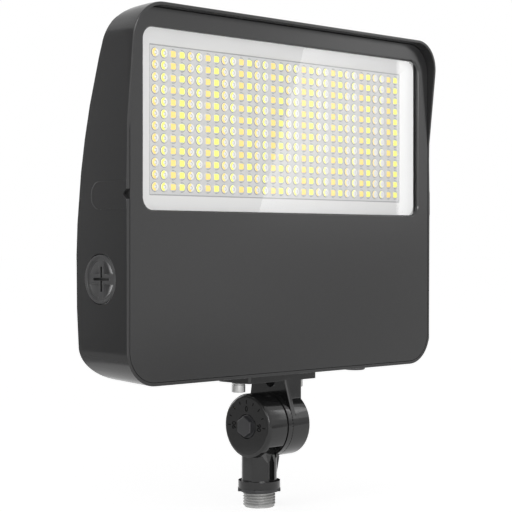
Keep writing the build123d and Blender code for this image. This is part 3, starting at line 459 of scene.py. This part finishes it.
def cramped_edges(face, room):
    """Numbers of the face's edges that have another part of its border closer beside them than room."""
    edges = [loop.edge for loop in face.loops]
    lengths = [edge.calc_length() for edge in edges]
    starts = [sum(lengths[:place]) for place in range(len(edges))]
    spans = [[[corner.co[axis] for corner in edge.verts] for axis in range(3)] for edge in edges]
    lows = [[min(ends) - room / 2 for ends in span] for span in spans]
    highs = [[max(ends) + room / 2 for ends in span] for span in spans]
    found = set()
    for i, first in enumerate(edges):
        for j in range(i + 1, len(edges)):
            if any(lows[j][axis] > highs[i][axis] or highs[j][axis] < lows[i][axis] for axis in range(3)):
                continue
            between = starts[j] - starts[i] - lengths[i]
            around = sum(lengths) - lengths[j] - starts[j] + starts[i]
            gap = gap_between(first, edges[j])
            if gap < room and min(between, around) > max(1.8 * gap, 1e-7):
                found.update((first.index, edges[j].index))
    return found


def has_room(edge, width):
    """True for a sharp edge whose neighbours are long enough for a bevel."""
    if len(edge.link_faces) != 2 or edge.calc_face_angle(0.0) < EASED_ANGLE:
        return False
    for corner in edge.verts:
        along = edge.other_vert(corner).co - corner.co
        for other in {side for face in edge.link_faces for side in face.edges if side != edge}:
            if corner in other.verts:
                away = other.other_vert(corner).co - corner.co
                turn = along.angle(away, 0.0)
                if turn < 2.6 and away.length * max(math.sin(turn), 0.05) < 2.05 * width:
                    return False
    return True


def ease_edges(width):
    """In edit mode, bevels the sharp edges that have room for it."""
    open_mesh = bmesh.from_edit_mesh(bpy.context.object.data)
    open_mesh.normal_update()
    open_mesh.edges.index_update()
    cramped = set()
    for face in open_mesh.faces:
        if len(face.verts) > 4:
            cramped |= cramped_edges(face, 2.1 * width)
    pick("edges", lambda e: e.index not in cramped and has_room(e, width))
    bpy.ops.mesh.bevel(offset=width, segments=2, affect="EDGES")


def eased_copy(node, name, width, shape_first=None):
    """A node's own mesh as one merged skin, with its sharp edges eased by width millimetres."""
    lift_selection()
    piece = bpy.data.objects.new(name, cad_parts[node].data.copy())
    bpy.context.scene.collection.objects.link(piece)
    bpy.context.view_layer.objects.active = piece
    piece.select_set(True)
    if piece.data.has_custom_normals:
        bpy.ops.mesh.customdata_custom_splitnormals_clear()
    bpy.ops.object.mode_set(mode="EDIT")
    bpy.ops.mesh.select_all(action="SELECT")
    bpy.ops.mesh.remove_doubles(threshold=2e-6)
    bpy.ops.mesh.dissolve_limited(angle_limit=FLAT_ANGLE)
    if shape_first:
        shape_first()
    ease_edges(width * MM)
    bpy.ops.object.mode_set(mode="OBJECT")
    bpy.ops.object.shade_smooth_by_angle(angle=EASED_ANGLE)
    even = piece.modifiers.new("even_shading", "WEIGHTED_NORMAL")
    even.keep_sharp = True
    apply_modifiers(piece)
    return piece


black_steel = Finish("black_oxide", (0.022, 0.022, 0.024))
black_steel.rough(0.30, 0.25, 700.0)
black_steel.dent(0.03 * MM, 1800.0)
locknut = eased_copy("locknut", "lugged_locknut", 0.3)
give(locknut, black_steel, "stand", ["locknut"])


# Fixed half of the knuckle: a zinc die casting in glossy black enamel, with a dial face, a hollow
# stem and a collar that is screwed on the nipple.
knuckle_black = Finish("knuckle_enamel")
knuckle_black.tint((0.00765, 0.00765, 0.00782), (0.01035, 0.01035, 0.01058), 150.0)
knuckle_black.rough(0.11, 0.06, 600.0)
knuckle_black.dent(0.006 * MM, 1100.0, detail=3.0)
fixed_half = eased_copy("lower_arm", "fixed_knuckle_half", 0.3)
give(fixed_half, knuckle_black, "stand", ["lower_arm"])

# Dial: degree ticks and the numbers 0 and 90, in thick black ink. They are printed on the upper half
# of the disc of the fixed half.
PIVOT_Z = 53.5 * MM
DIAL_X = -11.9 * MM
MARK_PROUD = 0.1 * MM
TICK_STEP = 22.5
TICK_WIDTH = 0.65 * MM
TICK_RADIUS = 16.0 * MM
NUMBER_RADIUS = 11.3 * MM
NUMBER_SIZE = 5.2 * MM


def on_dial(radius, degrees):
    """Point of the dial face; degrees run from the top towards the back."""
    angle = math.radians(degrees)
    return Vector((DIAL_X, radius * math.sin(angle), PIVOT_Z + radius * math.cos(angle)))


marks = []
for step in range(-4, 5):
    degrees = TICK_STEP * step
    length = (2.6 if step % 2 == 0 else 2.0) * MM
    lift_selection()
    bpy.ops.mesh.primitive_cube_add(size=1.0)
    tick = bpy.context.object
    tick.data.transform(Matrix.Diagonal((2 * MARK_PROUD, TICK_WIDTH, length, 1.0)))
    bpy.ops.object.mode_set(mode="EDIT")
    pick("faces", lambda f: f.normal.x < -0.9)
    bpy.ops.mesh.inset(thickness=0.08 * MM)
    bpy.ops.object.mode_set(mode="OBJECT")
    tick.data.transform(Matrix.Translation(on_dial(TICK_RADIUS, degrees))
                        @ Matrix.Rotation(-math.radians(degrees), 4, "X"))
    marks.append(tick)
for text, degrees in (("0", 0), ("90", 90), ("90", -90)):
    lift_selection()
    bpy.ops.object.text_add()
    number = bpy.context.object
    number.data.body = text
    number.data.size = NUMBER_SIZE
    number.data.align_x = "CENTER"
    number.data.align_y = "CENTER"
    number.data.extrude = MARK_PROUD
    number.data.offset = 0.08 * MM
    number.data.resolution_u = 3
    bpy.ops.object.convert(target="MESH")
    number = bpy.context.object
    upright = Matrix(((0, 0, -1, 0), (-1, 0, 0, 0), (0, 1, 0, 0), (0, 0, 0, 1)))
    number.data.transform(Matrix.Translation(on_dial(NUMBER_RADIUS, degrees))
                          @ Matrix.Rotation(-math.radians(degrees), 4, "X") @ upright)
    marks.append(number)
lift_selection()
for mark in marks:
    mark.select_set(True)
bpy.context.view_layer.objects.active = marks[0]
bpy.ops.object.join()
dial_marks = bpy.context.object
dial_marks.name = "dial_marks"
tidy_skin(30)
mark_black = Finish("dial_ink", (0.003, 0.003, 0.003), Specular_IOR_Level=0.1)
mark_black.rough(0.7, 0.2, 900.0)
give(dial_marks, mark_black, "stand")

# Pivot bolt: a flanged hexagon bolt, black oxide, that clamps the two halves; its washer lies in
# the recess of the dial, and its zinc-plated nut is captive in the back of the tilting half.
def repaint(names, finish):
    """New finish for nodes that keep their own shape."""
    for name in names:
        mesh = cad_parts[name].data
        mesh.materials.clear()
        mesh.materials.append(finish.material)


bolt = eased_copy("pivot_bolt", "flanged_pivot_bolt", 0.2)
give(bolt, black_steel, "stand", ["pivot_bolt"])
repaint(["pivot_washer"], black_steel)
pivot_nut = eased_copy("pivot_nut", "pivot_nut_hexagon", 0.3)
give(pivot_nut, zinc, "head", ["pivot_nut"])

# Tilting half of the knuckle: the second casting in black enamel, with a hollow neck. Its cup turns
# against the fixed half, and its plate is bolted under the head.
tilting_half = eased_copy("upper_arm", "tilting_knuckle_half", 0.35)
give(tilting_half, knuckle_black, "head", ["upper_arm"])

# Bracket bolts: two stainless socket screws that go through the plate up into the head, each on a
# split spring washer of flat wire.
WASHER_INNER = 2.7 * MM
WASHER_OUTER = 4.4 * MM
stainless = Finish("stainless_steel", (0.43, 0.43, 0.425), Metallic=1.0)
stainless.rough(0.3, 0.1, 800.0)
stainless.dent(0.005 * MM, 2200.0)
socket_screws = eased_copy("bracket_bolts", "bracket_socket_screws", 0.45)
give(socket_screws, stainless, "head", ["bracket_bolts"])


def spring_washer(name, centre, low, high):
    """Flat wire bent to one turn between two heights, with a gap where its ends part."""
    def climb(co):
        rise = 0.22 * (high - low) * (1 + math.sin(math.atan2(co.y, co.x) / 2))
        return Vector((co.x, co.y, low + rise))

    lift_selection()
    bpy.ops.mesh.primitive_circle_add(vertices=32, radius=WASHER_OUTER, fill_type="NOTHING")
    washer = bpy.context.object
    washer.name = name
    bpy.ops.object.mode_set(mode="EDIT")
    pick("verts", lambda v: abs(math.atan2(v.co.y, v.co.x)) > 3.09)
    bpy.ops.mesh.delete(type="VERT")
    bpy.ops.mesh.select_all(action="SELECT")
    bpy.ops.mesh.extrude_edges_move()
    reshape(lambda co: co.normalized() * WASHER_INNER)
    bpy.ops.mesh.select_all(action="SELECT")
    reshape(climb)
    bpy.ops.object.mode_set(mode="OBJECT")
    wall = washer.modifiers.new("wire", "SOLIDIFY")
    wall.thickness = (high - low) * 0.56
    wall.offset = 1.0
    edge = washer.modifiers.new("edge", "BEVEL")
    edge.width = 0.12 * MM
    edge.segments = 1
    apply_modifiers(washer)
    washer.data.transform(Matrix.Translation(centre))
    tidy_skin(30)
    return washer


washer_low, washer_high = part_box("bracket_washers")
washer_y = (washer_low.y + washer_high.y) / 2
for side, x in (("left", washer_low.x + WASHER_OUTER), ("right", washer_high.x - WASHER_OUTER)):
    washer = spring_washer(f"spring_washer_{side}", Vector((x, washer_y, 0)), washer_low.z, washer_high.z)
    give(washer, stainless, "head", ["bracket_washers"] if side == "left" else ())

# Seals at the foot of the head, of black silicone: a flat ring round the wire hole, clamped between
# the plate and the head, and a bush pressed into the hole.
silicone = Finish("black_silicone", (0.035, 0.035, 0.036))
silicone.rough(0.6, 0.2, 500.0)
silicone.dent(0.03 * MM, 1500.0)
repaint(["bracket_gasket", "wire_grommet"], silicone)

# Rear housing: an aluminium die casting in satin black powder coat, bolted on the plate. Its rim
# grows forward into the visor, and its back is curved and cut into fins.
powder = Finish("satin_powder_coat")
powder.tint((0.025, 0.025, 0.0255), (0.031, 0.031, 0.0315), 1400.0)
powder.rough(0.17, 0.08, 900.0)
powder.dent(0.004 * MM, 2400.0)
HEAD_X = 8.0 * MM
HEAD_HALF_W = 141.5 * MM
HEAD_CORNER_R = 22.0 * MM
FACE_Y = -23.8 * MM
VISOR_START = 239.9 * MM
RIM_ROUND = 0.8 * MM
PAD_ROUND = 0.3 * MM
PAD_PROUD = 0.5 * MM
WALL_LEAN = math.tan(math.radians(3.3))
EDGE_REACH = 0.08 * MM
housing_low, housing_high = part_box("rear_housing")
VISOR_LEAN = (housing_low.y - FACE_Y) / (housing_high.z - VISOR_START)


def off_outline(co):
    """Distance of a point from the outline of the head, seen from the front."""
    middle = (housing_low.z + housing_high.z) / 2
    dx = abs(co.x - HEAD_X) - (HEAD_HALF_W - HEAD_CORNER_R)
    dz = abs(co.z - middle) - (housing_high.z - middle - HEAD_CORNER_R)
    if dx > 0 and dz > 0:
        return math.hypot(dx, dz) - HEAD_CORNER_R
    return max(dx, dz) - HEAD_CORNER_R


def on_rim_edge(co):
    """True on the outer front edge of the rim and the visor."""
    front = FACE_Y + max(0.0, co.z - VISOR_START) * VISOR_LEAN
    return abs(off_outline(co)) < EDGE_REACH and abs(co.y - front) < EDGE_REACH


def on_pad(co):
    """True on the outer face of the raised pads of the drafted side walls."""
    wall = HEAD_HALF_W - (co.y - FACE_Y) * WALL_LEAN
    return abs(co.x - HEAD_X) > wall + 0.8 * PAD_PROUD


def round_rim():
    """Rounds the outer front edge of the rim, and the pads."""
    pick("edges", lambda e: on_rim_edge(e.verts[0].co) and on_rim_edge(e.verts[1].co))
    bpy.ops.mesh.bevel(offset=RIM_ROUND, segments=4, affect="EDGES")
    pick("edges", lambda e: on_pad(e.verts[0].co) and on_pad(e.verts[1].co))
    bpy.ops.mesh.bevel(offset=PAD_ROUND, segments=2, affect="EDGES")


housing = eased_copy("rear_housing", "finned_housing", 0.25, shape_first=round_rim)
give(housing, powder, "head", ["rear_housing"])

# Breather vent: a plug of black plastic with a flat cap, which evens the pressure in the head. It is
# pressed into the floor of the housing from below.
moulded_black = Finish("moulded_black_plastic", (0.035, 0.035, 0.036))
moulded_black.rough(0.4, 0.15, 700.0)
moulded_black.dent(0.03 * MM, 1600.0)
vent = eased_copy("breather_vent", "breather_plug", 0.3)
give(vent, moulded_black, "head", ["breather_vent"])

# Door: a die-cast frame in the same powder coat, with the window for the glass. It lies flush inside
# the rim on a silicone gasket, and the door screws pull it in from behind.
door = eased_copy("front_frame", "window_door", 0.3)
give(door, powder, "head", ["front_frame"])
repaint(["frame_gasket", "glass_gasket", "door_screw_washers"], silicone)

# Door screws: six stainless pan heads with a hexagon socket, on sealing washers. They sit at the
# bottom of the tunnels in the back and are screwed into the bosses of the door.
door_screws = eased_copy("door_screws", "door_pan_screws", 0.3)
give(door_screws, stainless, "head", ["door_screws"])

# Glass: a clear tempered sheet, clamped with its gasket behind the lip of the door. Its outer side
# mirrors the glare panel.
GLASS_IOR = 1.5
GLASS_GAIN = 1.8
clear = Finish("tempered_glass", (1.0, 1.0, 1.0), 0.02)
clear_through = clear.node("ShaderNodeBsdfTransparent", sockets={"Color": (1.0, 1.0, 1.0)})
outer_side = 1 - clear.node("ShaderNodeNewGeometry", output="Backfacing")
clear_facing = clear.node("ShaderNodeFresnel", sockets={"IOR": GLASS_IOR}) * outer_side * GLASS_GAIN
clear_gloss = clear.node("ShaderNodeBsdfGlossy", sockets={"Color": (1.0, 1.0, 1.0), "Roughness": 0.01})
clear_mix = clear.node("ShaderNodeMixShader", sockets={0: clear_facing, 1: clear_through, 2: clear_gloss})
clear.feed(clear.output.inputs["Surface"], clear_mix)
repaint(["lens_glass"], clear)

# Reflector: a frame of white plastic with four slopes, mitred at the corners. It is held between the
# glass and the lens sheet.
white_satin = Finish("white_reflector_plastic", (0.735, 0.735, 0.735))
white_satin.rough(0.32, 0.1, 400.0)
white_satin.dent(0.03 * MM, 900.0, detail=3.0)
funnel = eased_copy("reflector", "reflector_frame", 0.25)
give(funnel, white_satin, "head", ["reflector"])

# Lens sheet: one clear moulding with a lens over every light source, in pairs of columns: two of
# dimpled lenses, which bend their source to a crescent, then two of plain domes.
COLUMNS = 32
ROWS = 12
PITCH_X = 7.265 * MM
PITCH_Z = 7.37 * MM
FIELD_X = HEAD_X
FIELD_Z = 247.95 * MM
LENS_SIDES = 12
LENS_REACH = 3.3 * MM
AMBER = (1.0, 0.75, 0.19)
YELLOW = (1.0, 1.0, 0.17)
DIMPLED = ((3.1, 0.0), (2.75, 0.5), (2.05, 0.85), (1.35, 0.75), (0.0, 0.5))
PLAIN = ((3.2, 0.0), (3.0, 0.25), (2.2, 0.45), (1.1, 0.55), (0.0, 0.6))
sheet_low, sheet_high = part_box("optic_sheet")
first_x = FIELD_X - (COLUMNS - 1) / 2 * PITCH_X
first_z = FIELD_Z - (ROWS - 1) / 2 * PITCH_Z


def lens_cell(name, profile):
    """One square cell of the sheet with its lens, at the lower left corner of the field."""
    lift_selection()
    bpy.ops.mesh.primitive_circle_add(vertices=LENS_SIDES, radius=profile[0][0] * MM, fill_type="NOTHING")
    cell = bpy.context.object
    cell.name = name
    cell.data.transform(Matrix.Rotation(math.pi / LENS_SIDES, 4, "Z"))
    bpy.ops.object.mode_set(mode="EDIT")
    bpy.ops.mesh.select_all(action="SELECT")
    bpy.ops.mesh.extrude_edges_move()
    reshape(lambda co: Vector((co.x * PITCH_X / 2, co.y * PITCH_Z / 2, 0)) / max(abs(co.x), abs(co.y)))
    pick("edges", lambda e: e.is_boundary and max(point.co.length for point in e.verts) < LENS_REACH)
    for radius, height in profile[1:]:
        bpy.ops.mesh.extrude_edges_move()
        ring_to(radius * MM, height * MM)
    bpy.ops.mesh.remove_doubles(threshold=1e-6)
    bpy.ops.object.mode_set(mode="OBJECT")
    upright = Matrix.Rotation(math.pi / 2, 4, "X")
    cell.data.transform(Matrix.Translation((first_x, sheet_low.y, first_z)) @ upright)
    return cell


def repeat(piece, count, step):
    """Row of copies, joined into the piece."""
    row = piece.modifiers.new("row", "ARRAY")
    row.count = count
    row.use_relative_offset = False
    row.use_constant_offset = True
    row.constant_offset_displace = step
    apply_modifiers(piece)


lens_fields = []
for name, profile, column in (("dimpled_lenses", DIMPLED, 0), ("plain_lenses", PLAIN, 2)):
    cell = lens_cell(name, profile)
    cell.data.transform(Matrix.Translation((column * PITCH_X, 0, 0)))
    repeat(cell, 2, (PITCH_X, 0, 0))
    repeat(cell, COLUMNS // 4, (4 * PITCH_X, 0, 0))
    repeat(cell, ROWS, (0, 0, PITCH_Z))
    lens_fields.append(cell)
lift_selection()
for field in lens_fields:
    field.select_set(True)
bpy.context.view_layer.objects.active = lens_fields[0]
bpy.ops.object.join()
lens_sheet = bpy.context.object
lens_sheet.name = "moulded_lens_sheet"
bpy.ops.object.mode_set(mode="EDIT")
bpy.ops.mesh.select_all(action="SELECT")
bpy.ops.mesh.remove_doubles(threshold=5e-6)


def to_sheet_edge(co):
    """Stretches the border of the field to the edge of the sheet."""
    dx = (co.x - FIELD_X) / (COLUMNS * PITCH_X / 2)
    dz = (co.z - FIELD_Z) / (ROWS * PITCH_Z / 2)
    x = co.x if abs(dx) < 0.999 else (sheet_high.x if dx > 0 else sheet_low.x)
    z = co.z if abs(dz) < 0.999 else (sheet_high.z if dz > 0 else sheet_low.z)
    return Vector((x, co.y, z))


pick("edges", lambda e: e.is_boundary)
bpy.ops.mesh.extrude_edges_move()
reshape(to_sheet_edge)
bpy.ops.mesh.extrude_edges_move(TRANSFORM_OT_translate={"value": (0, sheet_high.y - sheet_low.y, 0)})
bpy.ops.mesh.edge_face_add()
tidy_skin(50)

# Its colours, from the camera's side, painted on the sheet: the image of each source where its lens
# shows it, a crescent or a square that glows faintly; the painted highlight that whitens a dimpled
# lens, with a ring of painted shade in its dimple, and the painted glint of a plain one; a painted
# shade outline at the rim of each lens, and a painted shadow along the border beside the reflector's
# opening. In millimetres.
OPENING_HALF_W = 117.5
OPENING_HALF_H = 45.6
OPENING_Z = 247.8
OPENING_SHADOW_WIDTH = 0.7
lens_clear = Finish("lens_sheet_plastic", roughness=0.12)
sheet_x = lens_clear.place("X")
sheet_z = lens_clear.place("Z")
column_at = (sheet_x - (first_x - PITCH_X / 2)) / PITCH_X
row_at = (sheet_z - (first_z - PITCH_Z / 2)) / PITCH_Z
off_x = (column_at % 1.0 - 0.5) * (PITCH_X / MM)
off_z = (row_at % 1.0 - 0.5) * (PITCH_Z / MM)
from_axis = (off_x * off_x + off_z * off_z) ** 0.5
in_field = (column_at > 0.0) * (column_at < COLUMNS) * (row_at > 0.0) * (row_at < ROWS)
is_dimpled = column_at % 4.0 < 2.0
is_amber = column_at % 2.0 < 1.0
across = column_at / COLUMNS
in_lens = (from_axis < 3.1) * in_field
in_dimpled = in_lens * is_dimpled
in_plain = in_lens * (1 - is_dimpled)
# The crescents and squares are the images of the sources, painted where the lenses would show them.
crescent = in_dimpled * (from_axis > 1.1 + 1.1 * across) * (from_axis < 2.6) * (off_x < 0.05 - 0.9 * across)
square = in_plain * (off_x * off_x < 3.9) * (off_z * off_z < 3.4)
source_image = crescent + square
# Painted shade: a grey ring in the dimple of each dimpled lens.
dimple_painted_shade = in_dimpled * (from_axis > 0.7 + 0.2 * across) * (from_axis < 1.15) * (off_x > across - 0.6)
# Painted highlight: the white of a dimpled lens outside that ring.
dimple_painted_highlight = in_dimpled * (from_axis < 2.75) * (1 - dimple_painted_shade)
# Painted highlight: the glint beside the square of a plain lens.
glint = in_plain * (off_x > 2.05) * (off_x < 2.55) * (off_z * off_z < 1.4)
# Painted shade: a dark outline at the rim of each lens, only on its right-hand side for a plain lens.
lens_rim_painted_shade = in_plain * (from_axis > 2.6) * (off_x > -1.0) + in_dimpled * (from_axis > 2.75)
# Painted shadow: a dark band along the edge of the reflector's opening.
from_side = OPENING_HALF_W - ((sheet_x - FIELD_X) * (sheet_x - FIELD_X)) ** 0.5 / MM
from_end = OPENING_HALF_H - ((sheet_z - OPENING_Z * MM) * (sheet_z - OPENING_Z * MM)) ** 0.5 / MM
opening_painted_shadow = (from_side < OPENING_SHADOW_WIDTH).most(from_end < OPENING_SHADOW_WIDTH)
source_colour = lens_clear.blend(is_amber, YELLOW, AMBER)
sheet_grey = lens_clear.blend(lens_clear.noise(700.0), (0.61, 0.61, 0.615), (0.68, 0.68, 0.685))
rim_shaded = lens_clear.blend(lens_rim_painted_shade.most(opening_painted_shadow), sheet_grey, (0.33, 0.33, 0.34))
highlighted = lens_clear.blend(dimple_painted_highlight.most(glint), rim_shaded, (0.94, 0.94, 0.93))
painted = lens_clear.blend(dimple_painted_shade, highlighted, (0.50, 0.48, 0.44))
lens_clear.feed(lens_clear.shader.inputs["Base Color"], lens_clear.blend(source_image, painted, source_colour))
# The painted images of the sources also glow faintly: painted light.
lens_clear.feed(lens_clear.shader.inputs["Emission Color"],
                lens_clear.blend(source_image, (0.0, 0.0, 0.0), source_colour))
lens_clear.shader.inputs["Emission Strength"].default_value = 0.2
give(lens_sheet, lens_clear, "head", ["optic_sheet"])


# Light sources: square packages with a phosphor window, amber and yellow in alternate columns. They
# are soldered to the light board under the lenses.
CAD_CHIP_HALF = 1.8 * MM
CHIP_W = 4.0 * MM
CHIP_H = 3.8 * MM


def light_sources(name, node, colour):
    """Every second column of packages on the board."""
    low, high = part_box(node)
    lift_selection()
    bpy.ops.mesh.primitive_cube_add(size=1.0)
    chip = bpy.context.object
    chip.name = name
    centre = (low.x + CAD_CHIP_HALF, (low.y + high.y) / 2, low.z + CAD_CHIP_HALF)
    chip.data.transform(Matrix.Translation(centre) @ Matrix.Diagonal((CHIP_W, high.y - low.y, CHIP_H, 1.0)))
    bpy.ops.object.mode_set(mode="EDIT")
    pick("faces", lambda f: f.normal.y < -0.9)
    bpy.ops.mesh.inset(thickness=0.2 * MM)
    bpy.ops.mesh.extrude_region_move(TRANSFORM_OT_translate={"value": (0, 0.1 * MM, 0)})
    bpy.ops.object.mode_set(mode="OBJECT")
    repeat(chip, COLUMNS // 2, (2 * PITCH_X, 0, 0))
    repeat(chip, ROWS, (0, 0, PITCH_Z))
    tidy_skin(30)
    # The phosphor glows faintly: painted light that brightens it beyond what the lamps give it.
    finish = Finish(name + "_phosphor", roughness=0.4, Emission_Color=(*colour, 1.0), Emission_Strength=0.35)
    finish.tint(tuple(0.93 * c for c in colour), colour, 1500.0)
    give(chip, finish, "head", [node])


light_sources("amber_light_sources", "leds_warm", AMBER)
light_sources("yellow_light_sources", "leds_cool", YELLOW)

# Light board: aluminium under white solder mask, screwed to the housing with eight screws. Its
# connector takes the two insulated wires of the driver.
board_white = Finish("white_solder_mask", (0.85, 0.85, 0.85))
board_white.rough(0.35, 0.1, 500.0)
repaint(["led_board", "board_connector"], board_white)
repaint(["board_screws", "driver_screws", "selector_posts"], stainless)
lead_red = Finish("silicone_insulation", (0.45, 0.03, 0.02), 0.5)
lead_red.dent(0.02 * MM, 1200.0)
repaint(["board_leads"], lead_red)

# Driver: potted in a closed case of grey plastic, which is screwed to the inside of the back by its
# two ears.
driver_grey = Finish("driver_case_grey", (0.22, 0.225, 0.23))
driver_grey.rough(0.4, 0.15, 400.0)
driver_grey.dent(0.03 * MM, 1300.0)
repaint(["driver_case"], driver_grey)

# Access cap: glossy black plastic, screwed into the left wall on an O-ring. It has a cross grip in a
# dished pocket, with a cross slot whose inside is darkened with painted shade.
CAP_Y = 2.9 * MM
CAP_Z = 151.7 * MM
SLOT_MOUTH_X = -131.0 * MM
SLOT_HALF_W = 0.85 * MM
SLOT_HALF_L = 7.7 * MM
cap_black = Finish("glossy_cap_plastic", (0.062, 0.062, 0.063))
cap_black.rough(0.27, 0.06, 900.0)
cap_black.dent(0.005 * MM, 1800.0)
# Painted shade: inside the cross slot, deeper than its mouth, the base colour goes nearly black.
off_cap_y = (cap_black.place("Y") - CAP_Y) * (cap_black.place("Y") - CAP_Y)
off_cap_z = (cap_black.place("Z") - CAP_Z) * (cap_black.place("Z") - CAP_Z)
upright_slot = (off_cap_y < SLOT_HALF_W ** 2) * (off_cap_z < SLOT_HALF_L ** 2)
level_slot = (off_cap_z < SLOT_HALF_W ** 2) * (off_cap_y < SLOT_HALF_L ** 2)
slot_painted_shade = upright_slot.most(level_slot) * (cap_black.place("X") > SLOT_MOUTH_X)
cap_black.feed(cap_black.shader.inputs["Base Color"],
               cap_black.blend(slot_painted_shade, (0.062, 0.062, 0.063), (0.008, 0.008, 0.008)))
cap = eased_copy("screw_cap", "access_cap", 0.25)
give(cap, cap_black, "cap", ["screw_cap"])
repaint(["cap_o_ring"], silicone)

# Selector behind the cap: a small green circuit board, held off the boss of the cap by two stainless
# spacers, with two slide switches in black cases and their white knobs.
board_green = Finish("green_circuit_board", roughness=0.4)
board_green.tint((0.010, 0.085, 0.03), (0.02, 0.14, 0.05), 600.0)
repaint(["selector_board"], board_green)
repaint(["selector_switch_bodies"], moulded_black)
knob_white = Finish("knob_plastic", (0.78, 0.78, 0.75))
knob_white.rough(0.35, 0.15, 900.0)
repaint(["power_knob", "colour_knob"], knob_white)

lift_selection()
